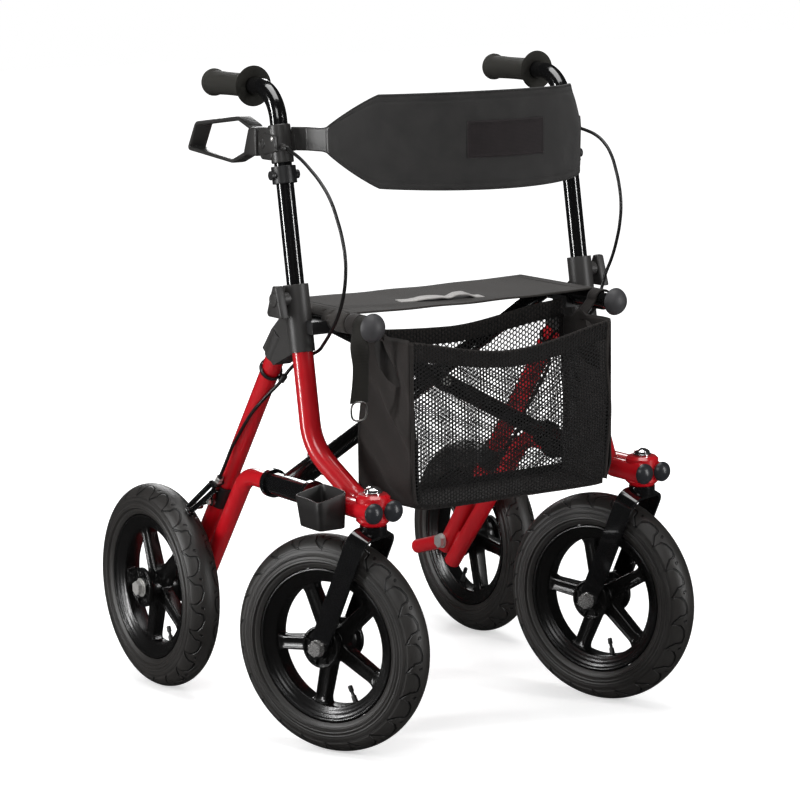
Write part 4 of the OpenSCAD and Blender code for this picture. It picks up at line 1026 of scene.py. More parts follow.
@dataclass
class Wheel:
    """One wheel's tyre, rim and valve, placed on its axle."""

    end: End
    side: Side
    radius: float = 0.155
    section: float = 0.028
    bead: float = 0.1101
    rings: Sequence[Point] = (
        (78.0, 1.6, 0.0004), (90.0, 1.8, -0.0006), (96.5, 2.2, 0.0011), (103.0, 3.4, 0.0016),
        (110.0, 2.0, -0.0008))
    shoulder: Point = (62.5, 3.0, 0.0011)
    rear_axle: Point = (0.289, 0.222, 0.155)
    swivel: Point = (0.232, -0.296, 0.155)
    trail: float = 0.07
    valve_r: float = 0.064
    spoke_count: int = 5
    spoke_span: tuple[float, float] = (0.0195, 0.0925)
    rib_count: int = 8
    rib_span: tuple[float, float] = (0.0164, 0.0268)
    rib_half: float = 0.0011
    sections: int = 128
    steps: int = 168

    @property
    def word(self) -> str:
        """The wheel's word in node names."""
        return f"{self.end.value}_{self.side.word}"

    @property
    def phase(self) -> float:
        """Angle of the wheel's first spoke, as the wheel stands in the photograph.

        Returns:
            The angle in radians.
        """
        front = {Side.LEFT: 12.0, Side.RIGHT: 24.0}
        rear = {Side.LEFT: -15.0, Side.RIGHT: -12.0}
        return math.radians((front if self.end is End.FRONT else rear)[self.side])

    def place(self) -> Matrix:
        """Find the matrix that takes local Z to the axle and the origin to the wheel's middle.

        Returns:
            The matrix.
        """
        casters = {Side.LEFT: 24.0, Side.RIGHT: 20.0}
        if self.end is End.REAR:
            (x, y, z), back = self.rear_axle, Vector()
            turn = math.pi if self.side is Side.LEFT else 0.0
        else:
            x, y, z = self.swivel
            turn = math.radians(casters[self.side])
            back = Vector((-math.sin(turn), math.cos(turn), 0.0)) * self.trail
        axle = Matrix.Rotation(turn, 4, "Z") @ Matrix.Rotation(math.pi / 2, 4, "Y")
        return Matrix.Translation(Vector((x * self.side.value, y, z)) + back) @ axle

    def tyre(self) -> bpy.types.Object:
        """Build the tyre with its tread map.

        Returns:
            The tyre.
        """
        middle = self.radius - self.section
        reach = math.acos((self.bead - middle) / self.section)
        piece = Piece(f"tread_{self.word}")
        angles = [reach * (2 * i / self.sections - 1) for i in range(self.sections + 1)]
        start, over, drop = self.shoulder
        profile = []
        for a in angles:
            v = abs(math.degrees(a))
            r = self.section - drop * smooth_step((v - start) / over)
            r += sum(high * bell(v, at, wide) for at, wide, high in self.rings)
            profile.append((middle + r * math.cos(a), r * math.sin(a)))
        verts = [piece.bm.verts.new((r, 0.0, z)) for r, z in profile]
        edges = [piece.bm.edges.new(p) for p in zip(verts, verts[1:])]
        bmesh.ops.spin(
            piece.bm, geom=verts + edges, cent=(0, 0, 0), axis=(0, 0, 1), dvec=(0, 0, 0), angle=math.tau,
            steps=self.steps, use_merge=True, use_duplicate=False)
        bmesh.ops.remove_doubles(piece.bm, verts=piece.bm.verts[:], dist=1e-6)
        rims = [e for e in piece.bm.edges if e.is_boundary]
        bmesh.ops.bridge_loops(piece.bm, edges=rims)
        for face in piece.bm.faces:
            centre = face.calc_center_median()
            about = math.atan2(centre.y, centre.x)
            for loop in face.loops:
                co = loop.vert.co
                across = math.degrees(math.atan2(co.z, math.hypot(co.x, co.y) - middle))
                loop[piece.uv].uv = (unrolled(co, about) / math.tau, across / TYRE_RUBBER.degrees_per_unit)
        piece.face_out()
        bmesh.ops.transform(piece.bm, matrix=self.place(), verts=piece.bm.verts[:])
        return piece.finish(TYRE_RUBBER, "tyre_rubber")

    def ring(self, piece: Piece) -> None:
        """Add the rim's stepped ring to a piece."""
        half = [
            (0.1000, 0.0100), (0.1045, 0.0150), (0.1093, 0.0165), (0.1099, 0.0185), (0.1097, 0.0208),
            (0.1086, 0.0219), (0.1065, 0.0220), (0.1052, 0.0212), (0.1046, 0.0196), (0.1035, 0.0188),
            (0.1008, 0.0184), (0.0998, 0.0178), (0.0985, 0.0162), (0.0962, 0.0154), (0.0948, 0.0148),
            (0.0935, 0.0134), (0.0905, 0.0126), (0.0893, 0.0117), (0.0890, 0.0100)]
        piece.lathe(half + [(r, -z) for r, z in reversed(half)], self.place(), 96, closed=True)

    def hub(self, piece: Piece) -> None:
        """Add the hub with its two ribbed end discs to a piece.

        Args:
            piece: The rim's piece.
        """
        half = [
            (0.0085, 0.0240), (0.0141, 0.0244), (0.0141, 0.0326), (0.0145, 0.0330), (0.0164, 0.0330),
            (0.0168, 0.0325), (0.0170, 0.0296), (0.0262, 0.0296), (0.0265, 0.0324), (0.0270, 0.0330),
            (0.0294, 0.0330), (0.0300, 0.0323), (0.0300, 0.0268), (0.0292, 0.0260), (0.0232, 0.0252),
            (0.0222, 0.0240), (0.0220, 0.0150)]
        piece.lathe(half + [(r, -z) for r, z in reversed(half)], self.place(), 56, closed=True)
        (inner, outer), half_rib = self.rib_span, self.rib_half
        for k in range(self.rib_count):
            turn = Matrix.Rotation(math.tau * (k + 0.5) / self.rib_count, 4, "Z")
            for face in (-1, 1):
                low, high = sorted((0.0290 * face, 0.0325 * face))
                piece.block((inner, -half_rib, low), (outer, half_rib, high), 0.0004, self.place() @ turn)

    def spokes(self, piece: Piece) -> None:
        """Add the five channelled spokes, flared where they meet the ring, to a piece.

        Args:
            piece: The rim's piece.
        """
        start, end = self.spoke_span
        for k in range(self.spoke_count):
            turn = self.place() @ Matrix.Rotation(math.tau * k / self.spoke_count + self.phase, 4, "Z")

            def skin(u: float, w: float, turn: Matrix = turn) -> Vector:
                """Point of a spoke's skin.

                Args:
                    u: Share along the spoke.
                    w: Share round it.
                    turn: The spoke's place.

                Returns:
                    The point.
                """
                r = start + (end - start) * u
                at_ring = 0.0085 * max(0.0, (r - 0.0765) / 0.016) ** 2.2
                at_hub = 0.004 * max(0.0, (0.031 - r) / 0.012) ** 2
                wide = 0.0114 - 0.0016 * u + at_ring + at_hub
                thick = 0.0105 - 0.0012 * u
                a = math.tau * w
                x, z = wide * square_off(math.cos(a), 0.32), thick * square_off(math.sin(a), 0.32)
                inside = smooth_step((0.62 - abs(x / wide)) / 0.14) * smooth_step((0.086 - r) / 0.005)
                return turn @ Vector((r, x, z * (1 - 0.22 * inside)))

            piece.grid(40, 48, skin, (end - start, 0.06))
            bmesh.ops.remove_doubles(piece.bm, verts=piece.fresh(), dist=MERGE)
            piece.mark()

    def rim(self) -> bpy.types.Object:
        """Build the five-spoke rim.

        Returns:
            The rim.
        """
        piece = Piece(f"wheel_rim_{self.word}")
        self.ring(piece)
        self.hub(piece)
        self.spokes(piece)
        piece.face_out()
        return piece.finish(RIM_PLASTIC, "rim_plastic", sharp=50.0)

    def valve(self) -> bpy.types.Object:
        """Build the valve with its cap, between two spokes.

        Returns:
            The valve.
        """
        piece = Piece(f"valve_{self.word}")
        gap = self.phase + math.radians(36.0 if self.end is End.REAR else -36.0)
        outward = Matrix.Translation((self.valve_r, 0.0, 0.0)) @ Matrix.Rotation(math.pi / 2, 4, "Y")
        piece.lathe(
            [(0.0, 0.0), (0.0028, 0.0004), (0.0034, 0.002), (0.0034, 0.009), (0.0024, 0.0095),
             (0.0024, 0.014), (0.0036, 0.016), (0.004, 0.026), (0.0042, 0.03)],
            self.place() @ Matrix.Rotation(gap, 4, "Z") @ outward, 20)
        return piece.finish(BLACK_PLASTIC, "tyre_rubber")

    def build(self) -> None:
        """Add the tyre, the rim and the valve on the wheel's body."""
        tyre, rim, valve = self.tyre(), self.rim(), self.valve()
        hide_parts(f"tyre_{self.word}")
        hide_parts(f"rim_{self.word}")
        for piece in (tyre, rim, valve):
            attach(piece, f"{self.word}_wheel")


@dataclass
class Handle:
    """Grip, brake lever, brake housing and clamp knob of one side."""

    side: Side
    x: float = 0.246
    column_y: float = -0.09172
    lean: float = math.radians(9.4)
    grip_z: float = 0.919
    grip_front: float = -0.019
    grip_rear: float = 0.099
    pivot: tuple[float, float] = (-0.06673, 0.842)
    loop_size: tuple[float, float] = (0.222, 0.07)
    loop_shares: Sequence[tuple[float, float]] = (
        (0.175, 0.29), (0.35, 0.47), (0.88, 0.27), (1.0, -0.34), (0.43, -0.5), (0.25, -0.29))
    band: float = 0.005
    band_width: float = 0.022
    band_half: float = 0.0031
    knuckle: float = 0.0128
    tongue: float = 0.0065
    knob_at: Point = (0.27135, -0.127145, 0.628)
    knob_corners: Sequence[tuple[float, float]] = (
        (-7, 20), (3, 20), (11, 3), (20.5, -20), (17, -25), (-21.5, -25))

    def grip(self) -> bpy.types.Object:
        """Build the rubber grip with its flange and end ring.

        Returns:
            The grip.
        """
        length = self.grip_rear - self.grip_front
        piece = Piece(f"rubber_grip_{self.side.word}")
        shares = [i / 14 for i in range(15)]
        waist = [(0.0176 - 0.0011 * math.sin(math.pi * t), 0.008 + (length - 0.019) * t) for t in shares]
        profile = [
            (0.0126, 0.001), (0.0138, 0.0), (0.029, 0.0), (0.0248, 0.0008), (0.025, 0.0022), (0.0246, 0.004),
            (0.0232, 0.0052), (0.0196, 0.0062), *waist, (0.0186, length - 0.0095), (0.0198, length - 0.008),
            (0.02, length - 0.004), (0.0192, length - 0.0012), (0.0175, length), (0.0, length)]
        start = Matrix.Translation((self.x * self.side.value, self.grip_front, self.grip_z))
        piece.lathe(profile, start @ Matrix.Rotation(-math.pi / 2, 4, "X"), 56)
        made = piece.finish(GRIP_RUBBER, "grip_rubber", sharp=60.0)
        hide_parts(f"grip_{self.side.word}")
        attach(made, f"{self.side.word}_handle")
        return made

    def outline(self, inset: float) -> list[tuple[float, float]]:
        """The lever loop's outline, moved inward.

        Args:
            inset: How far the outline moves inward.

        Returns:
            Its points, along the part and up.
        """
        (y, z), (long, high) = self.pivot, self.loop_size
        points = [Vector((y + a * long, z + b * high)) for a, b in self.loop_shares]
        made = []
        for i, at in enumerate(points):
            before = (at - points[i - 1]).normalized()
            after = (points[(i + 1) % len(points)] - at).normalized()
            n1, n2 = Vector((before.y, -before.x)), Vector((after.y, -after.x))
            made.append(tuple(at + inset * (n1 + n2) / (1 + n1.dot(n2))))
        return made

    def lever(self) -> bpy.types.Object:
        """Build the loop lever with its knuckle and tongue.

        Returns:
            The lever.
        """
        piece = Piece(f"loop_lever_{self.side.word}")
        middle = self.x * self.side.value
        path = fillet([Vector(p) for p in self.outline(self.band / 2)], 0.005, 4)
        rings = []
        for i, at in enumerate(path):
            way = (path[(i + 1) % len(path)] - path[i - 1]).normalized()
            out = Vector((-way.y, way.x))
            share = (at.x - self.pivot[0]) / self.loop_size[0]
            flare = 1 + 0.3 * smooth_step((share - 0.6) / 0.3)
            ring = []
            for k in range(20):
                turn = math.tau * k / 20
                wide = self.band_width / 2 * flare * square_off(math.cos(turn), 0.3)
                thick = self.band_half * square_off(math.sin(turn), 0.45)
                ring.append(Vector((middle + wide, at.x + out.x * thick, at.y + out.y * thick)))
            rings.append(ring)
        piece.sweep(rings)
        y, z = self.pivot
        outer, inner = self.outline(0.0), self.outline(self.band)
        front = y + 0.0232
        knuckle = [(front, outer[5][1]), (front, outer[0][1]), outer[0], inner[0], inner[5], outer[5]]
        piece.plate(knuckle, middle - self.knuckle, middle + self.knuckle, 0.003)
        half = self.tongue
        piece.block((middle - half, y - 0.006, z - 0.0085), (middle + half, y + 0.03, z + 0.0085), 0.0025)
        made = piece.finish(SATIN_PLASTIC, "black_plastic", sharp=35.0)
        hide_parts(f"brake_lever_{self.side.word}")
        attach(made, f"{self.side.word}_lever")
        return made

    def housing(self) -> None:
        """Build the brake housing: clamp barrel, two cheeks with pivot bosses, cable ferrule and pins."""
        word, sign = self.side.word, self.side.value
        middle, (y, z) = self.x * sign, self.pivot
        column = Matrix.Translation((middle, self.column_y, z)) @ Matrix.Rotation(-self.lean, 4, "X")
        piece = Piece(f"brake_bracket_{word}")
        piece.lathe(sleeve(0.0126, 0.0159, 0.0268, 0.0009), column, 48, closed=True)
        cheek = [
            (-0.0930, 0.8245), (-0.0930, 0.8600), (-0.0890, 0.8650), (-0.0640, 0.8650), (-0.0550, 0.8560),
            (-0.0550, 0.8280), (-0.0640, 0.8190), (-0.0880, 0.8190)]
        link = [
            (-0.1070, 0.8330), (-0.1045, 0.8545), (-0.0740, 0.8570), (-0.0600, 0.8490), (-0.0600, 0.8350),
            (-0.0740, 0.8270)]
        boss = [
            (0.0, 0.0002), (0.0034, 0.0002), (0.0037, 0.0014), (0.0042, 0.0019), (0.0068, 0.0019),
            (0.0076, 0.0012), (0.0076, -0.001)]
        plates = ((cheek, 0.0072, 0.0162, 0.0022), (link, 0.0140, 0.0186, 0.0008))
        for face in (-1, 1):
            for outline, near, far, bevel in plates:
                piece.plate(outline, *sorted((middle + face * near, middle + face * far)), bevel)
            at = Vector((middle + face * 0.0186, y - 0.004, z))
            piece.lathe(boss, towards(Vector((face, 0, 0)), at), 36)
        way = Vector((0.0, -0.995, -0.1)).normalized()
        piece.lathe(
            [(0.0027, 0.0155), (0.0034, 0.0155), (0.0038, 0.0145), (0.0038, 0.0085), (0.0046, 0.0080),
             (0.0046, 0.0)], towards(way, Vector((0.252 * sign, -0.1040, 0.8389))), 28)
        made = piece.finish(SATIN_PLASTIC, "black_plastic", sharp=35.0)
        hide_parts(f"brake_housing_{word}")
        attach(made, f"{word}_handle")
        pins = Piece(f"bracket_pins_{word}")
        head = [(0.0, 0.0012), (0.0022, 0.0012), (0.0032, 0.0004), (0.0032, -0.001)]
        for face in (-1, 1):
            at = Vector((middle + face * 0.0187, -0.0985, 0.8500))
            pins.lathe(head, towards(Vector((face, 0, 0)), at), 24)
        metal = pins.finish(ZINC, "zinc_steel")
        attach(metal, f"{word}_handle")

    def knob(self) -> None:
        """Build the paddle that clamps the handle's height."""
        word, sign = self.side.word, self.side.value
        piece = Piece(f"clamp_paddle_{word}")
        face, y, z = self.knob_at
        outline = [(y + a / 1000, z + b / 1000) for a, b in self.knob_corners]
        low, high = sorted((face * sign, (face + 0.013) * sign))
        piece.plate(outline, low, high, 0.0024)
        piece.lathe(
            [(0.004, -0.0345), (0.004, -0.001), (0.0098, -0.0002), (0.0102, 0.002), (0.0102, 0.0136),
             (0.0090, 0.0148), (0.0, 0.0148)], towards(Vector((sign, 0, 0)), Vector((face * sign, y, z))), 40)
        made = piece.finish(CASTING, "grey_plastic", sharp=35.0)
        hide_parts(f"clamp_knob_{word}")
        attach(made, f"{word}_knob")

    def build(self) -> None:
        """Add the side's grip, lever, brake housing and clamp knob."""
        self.grip()
        self.lever()
        self.housing()
        self.knob()


@dataclass
class Seat:
    """Sling seat with its hems on the seat tubes, and its pull strap."""

    tube_x: float = 0.208
    tube_z: float = 0.598
    hem_r: float = 0.0141
    front: float = -0.213
    rear: float = -0.025
    cut: tuple[float, float] = (-0.1685, -0.0743)
    cradle: float = -0.1535
    sag: float = 0.0045
    wrapped: float = math.radians(205.0)
    strap_ends: Sequence[tuple[float, float]] = ((-0.083, -0.136), (0.041, -0.166))
    strap_width: float = 0.025
    stitches: int = 38

    def sheet(self) -> bpy.types.Object:
        """Build the seat's sheet with its two hems.

        Returns:
            The sheet.
        """
        top = self.tube_z + self.hem_r
        piece = Piece("seat_sheet")
        width = 2 * self.tube_x

        def surface(u: float, w: float) -> Vector:
            """Point of the sheet.

            Args:
                u: Share of the width.
                w: Share of the depth.

            Returns:
                The point.
            """
            x = -self.tube_x + width * u
            y = self.front + (self.rear - self.front) * w
            hollow = math.sin(math.pi * u) ** 0.7 * (0.55 + 0.45 * math.sin(math.pi * w))
            ripple = 0.0005 * math.sin(23 * u + 4 * w) * math.sin(math.pi * u)
            return Vector((x, y, top - self.sag * hollow + ripple))

        piece.grid(56, 26, surface, (width, self.rear - self.front))
        around = self.wrapped
        hems = (
            (self.front, self.cut[0], 1.0), (self.cut[0], self.cradle, 0.5), (self.cradle, self.cut[1], 0.34),
            (self.cut[1], self.rear, 1.0))
        for sign, (low, high, part) in product((-1, 1), hems):
            def wrap(u: float, w: float, sign: int = sign, low: float = low, high: float = high,
                     turned: float = around * part) -> Vector:
                """Point of a hem around its seat tube."""
                turn = turned * u
                return Vector((
                    sign * (self.tube_x + self.hem_r * math.sin(turn)), low + (high - low) * w,
                    self.tube_z + self.hem_r * math.cos(turn)))

            piece.grid(14, 6, wrap, (self.hem_r * around, high - low))
        bmesh.ops.remove_doubles(piece.bm, verts=piece.bm.verts[:], dist=0.0004)
        made = piece.finish(SEAT_FABRIC, "seat_fabric", sharp=80.0)
        area = thicken(made, 0.0022)
        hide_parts("seat_sling")
        close_with_seat(made)
        return made

    def hem_lines(self) -> None:
        """Add the sewn lines beside the tubes."""
        piece = Piece("seat_stitching")
        drop = self.sag * math.sin(math.pi * 0.04) ** 0.7 * 0.8
        z = self.tube_z + self.hem_r + 0.0012 - drop
        for sign in (-1, 1):
            x = sign * (self.tube_x - 0.016)
            for i in range(self.stitches):
                y = self.front + 0.004 + (self.rear - self.front - 0.008) * i / (self.stitches - 1)
                piece.block((x - 0.0004, y - 0.0017, z - 0.0007), (x + 0.0004, y + 0.0017, z + 0.0002))
        made = piece.finish(THREAD, "seat_fabric")
        close_with_seat(made)

    def strap(self) -> bpy.types.Object:
        """Build the webbing strap that folds the seat.

        Returns:
            The strap.
        """
        piece = Piece("fold_strap")
        start, end = (Vector(p) for p in self.strap_ends)
        width = self.strap_width
        along = (end - start).normalized()
        across = Vector((-along.y, along.x))

        def ribbon(u: float, w: float) -> Vector:
            """Point of the strap, which lies flat at its ends and stands up in two humps.

            Args:
                u: Share along the strap.
                w: Share across it.

            Returns:
                The point.
            """
            flat = start.lerp(end, u) + across * (w - 0.5) * width
            hump = 0.0028 * smooth_step((u - 0.12) / 0.2) * smooth_step((0.66 - u) / 0.2)
            hump += 0.0062 * smooth_step((u - 0.56) / 0.14) * smooth_step((0.93 - u) / 0.16)
            base = self.tube_z + self.hem_r + 0.0022 - self.sag * 0.95
            ripple = 0.0006 * math.sin(9 * w + 14 * u) if hump > 0.001 else 0.0
            return Vector((flat.x, flat.y, base + hump + ripple))

        piece.grid(48, 8, ribbon, ((end - start).length, width))
        made = piece.finish(GREY_WEBBING, "webbing", sharp=80.0)
        area = thicken(made, 0.0018)
        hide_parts("pull_strap")
        close_with_seat(made)
        return made

    def build(self) -> None:
        """Add the seat's pieces."""
        self.sheet()
        self.hem_lines()
        self.strap()


@dataclass
class BackBelt:
    """Padded back belt between the handles, with a sewn patch."""

    radius: float = 0.218
    centre_y: float = -0.09056
    middle_z: float = 0.849
    half_height: float = 0.063
    tip_half_height: float = 0.017
    full_turn: float = 51.0
    right_turn: float = 44.0
    tip_turn: float = 73.0
    thickness: float = 0.0075
    anchor: Point = (-0.228, -0.09, 0.849)
    keep: float = 0.684
    piping_half: tuple[float, float] = (0.0026, 0.0017)
    patch_turn: float = -2.8
    patch_half: tuple[float, float] = (16.2, 0.0255)
    arm_turn: tuple[float, float] = (71.0, 17.0)
    arm_bend: float = 83.0
    arm_end: float = 0.2330

    def at(self, turn: float, height: float, out: float = 0.0) -> Vector:
        """Point of the belt's middle sheet.

        Args:
            turn: Angle from the belt's middle in degrees, positive to the right.
            height: Height over the belt's middle line.
            out: Distance outward from the middle sheet.

        Returns:
            The point.
        """
        a = math.radians(turn)
        r = self.radius + out
        return Vector((r * math.sin(a), self.centre_y - r * math.cos(a), self.middle_z + height))

    def half(self, turn: float, upper: bool = True) -> float:
        """Height of the belt's upper or lower edge from its middle line.

        Args:
            turn: Angle from the belt's middle in degrees.
            upper: The upper edge, or the lower one.

        Returns:
            The height.
        """
        full = self.right_turn if turn > 0 and upper else self.full_turn
        share = max(0.0, (abs(turn) - full) / (self.tip_turn - full))
        crown = 0.004 * math.cos(math.radians(turn) * 1.6)
        fall = (self.half_height - self.tip_half_height) * min(1.0, share) ** 1.15
        return self.half_height - fall + crown * max(0.0, 1 - 3 * share)

    def lean(self, turn: float, rise: float) -> float:
        """How far the right end's upper edge is pulled in, as the cover twists there."""
        return 0.011 * max(0.0, rise) ** 1.3 * smooth_step((turn - 16.0) / 36.0)

    def soften(self, piece: bpy.types.Object) -> None:
        """Let a piece ride on the left handle, with a mesh of its own."""
        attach(piece, "left_handle")
        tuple(self.anchor)
        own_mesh(piece)

    def pad(self) -> bpy.types.Object:
        """Build the padded cover.

        Returns:
            The cover.
        """
        piece = Piece("belt_cover")

        def skin(sign: int) -> Callable[[float, float], Vector]:
            """Outer or inner skin of the cover.

            Args:
                sign: 1 for the outer skin, -1 for the inner one.

            Returns:
                The skin's surface.
            """
            def surface(u: float, w: float) -> Vector:
                """Point of the skin.

                Args:
                    u: Share along the belt.
                    w: Share of its height.

                Returns:
                    The point.
                """
                turn = self.tip_turn * (2 * u - 1)
                rise = 2 * w - 1
                half = self.half(turn, rise > 0)
                edge = max(0.0, 1 - abs(rise) ** 6) * max(0.0, 1 - abs(2 * u - 1) ** 24)
                puff = sign * self.thickness / 2 * (0.3 + 0.7 * math.sqrt(edge))
                puff += 0.0006 * math.sin(turn * 0.35 + 2.2 * rise) * edge
                seam = bell(abs(rise), 0.87, 0.022) + bell(abs(turn), 69.5, 0.8)
                puff -= sign * 0.0011 * min(1.0, seam)
                return self.at(turn, half * rise, puff - self.lean(turn, rise))
            return surface

        span = 2 * self.radius * math.radians(self.tip_turn)
        for sign in (1, -1):
            piece.grid(110, 60, skin(sign), (span, 2 * self.half_height))
        rims = [e for e in piece.bm.edges if e.is_boundary]
        bmesh.ops.bridge_loops(piece.bm, edges=rims)
        piece.face_out()
        made = piece.finish(BELT_FABRIC, "belt_fabric", sharp=70.0)
        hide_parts("backrest")
        self.soften(made)
        return made

    def piping(self) -> None:
        """Add the sewn edge that runs round the cover."""
        piece = Piece("belt_binding")
        turns = [self.tip_turn * (2 * i / 80 - 1) for i in range(81)]
        path = [self.at(t, self.half(t), -self.lean(t, 1.0)) for t in turns]
        path += [self.at(t, -self.half(t, False)) for t in reversed(turns)]
        ahead = path[1:] + path[:1]
        corners = [here for here, after in zip(path, ahead) if (after - here).length > 0.0005]
        ring = 8
        angles = [math.tau * k / ring for k in range(ring)]
        thick, high = self.piping_half
        rows = []
        for i, here in enumerate(corners):
            way = (corners[(i + 1) % len(corners)] - corners[i - 1]).normalized()
            out = Vector((here.x, here.y - self.centre_y, 0.0)).normalized()
            side = way.cross(out).normalized()
            rows.append([here + out * math.cos(a) * thick + side * math.sin(a) * high for a in angles])
        verts = [[piece.bm.verts.new(p) for p in row] for row in rows]
        loops = [[piece.bm.edges.new((row[k - 1], row[k])) for k in range(ring)] for row in verts]
        for i in range(len(loops)):
            bmesh.ops.bridge_loops(piece.bm, edges=loops[i - 1] + loops[i])
        piece.face_out()
        made = piece.finish(BELT_FABRIC, "belt_fabric")
        self.soften(made)

    def patch(self) -> None:
        """Add the sewn patch with its raised border."""
        piece = Piece("belt_patch")
        wide, high = self.patch_half

        def surface(u: float, w: float) -> Vector:
            """Point of the patch.

            Args:
                u: Share of its width.
                w: Share of its height.

            Returns:
                The point.
            """
            edge = min(u, 1 - u) * 2 * wide * 3.8, min(w, 1 - w) * 2 * high * 1000
            border = 0.0008 if min(edge) < 3.2 else 0.0
            drop = -0.0012 if min(edge) < 0.4 else 0.0
            turn, rise = self.patch_turn + wide * (2 * u - 1), 2 * w - 1
            out = self.thickness / 2 + 0.0009 + border + drop - self.lean(turn, 0.4 * rise)
            return self.at(turn, high * rise + 0.002, out)

        piece.grid(64, 34, surface, (2 * math.radians(wide) * self.radius, 2 * high))
        piece.face_out()
        made = piece.finish(PATCH_FABRIC, "belt_fabric", sharp=60.0)
        thicken(made, 0.0008)
        self.soften(made)

    def arms(self) -> None:
        """Add the plastic arms that carry the belt's ends."""
        for side in Side:
            piece = Piece(f"belt_arm_{side.word}")

            def surface(u: float, w: float, side: Side = side) -> Vector:
                """Point of an arm, flaring into the cover.

                Args:
                    u: Share along the arm.
                    w: Share of its height.
                    side: Which side.

                Returns:
                    The point.
                """
                turn = self.arm_turn[0] + self.arm_turn[1] * u
                flare = 0.0168 + 0.003 * (1 - smooth_step(u / 0.3))
                bulge = 0.002 * smooth_step((u - 0.2) / 0.6)
                at = self.at(turn, flare * (2 * w - 1), bulge)
                if turn > self.arm_bend:
                    bend = self.at(self.arm_bend, 0.0, bulge).x
                    at.x = bend + (turn - self.arm_bend) / 5.0 * (self.arm_end - bend)
                return Vector((at.x * side.value, at.y, at.z))

            piece.grid(30, 10, surface, (0.06, 0.034))
            piece.face_out()
            made = piece.finish(SATIN_PLASTIC, "black_plastic", sharp=60.0)
            thicken(made, 0.0042, 1)
            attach(made, f"{side.word}_handle")

    def build(self) -> None:
        """Add the belt's pieces."""
        self.pad()
        self.piping()
        self.patch()
        self.arms()


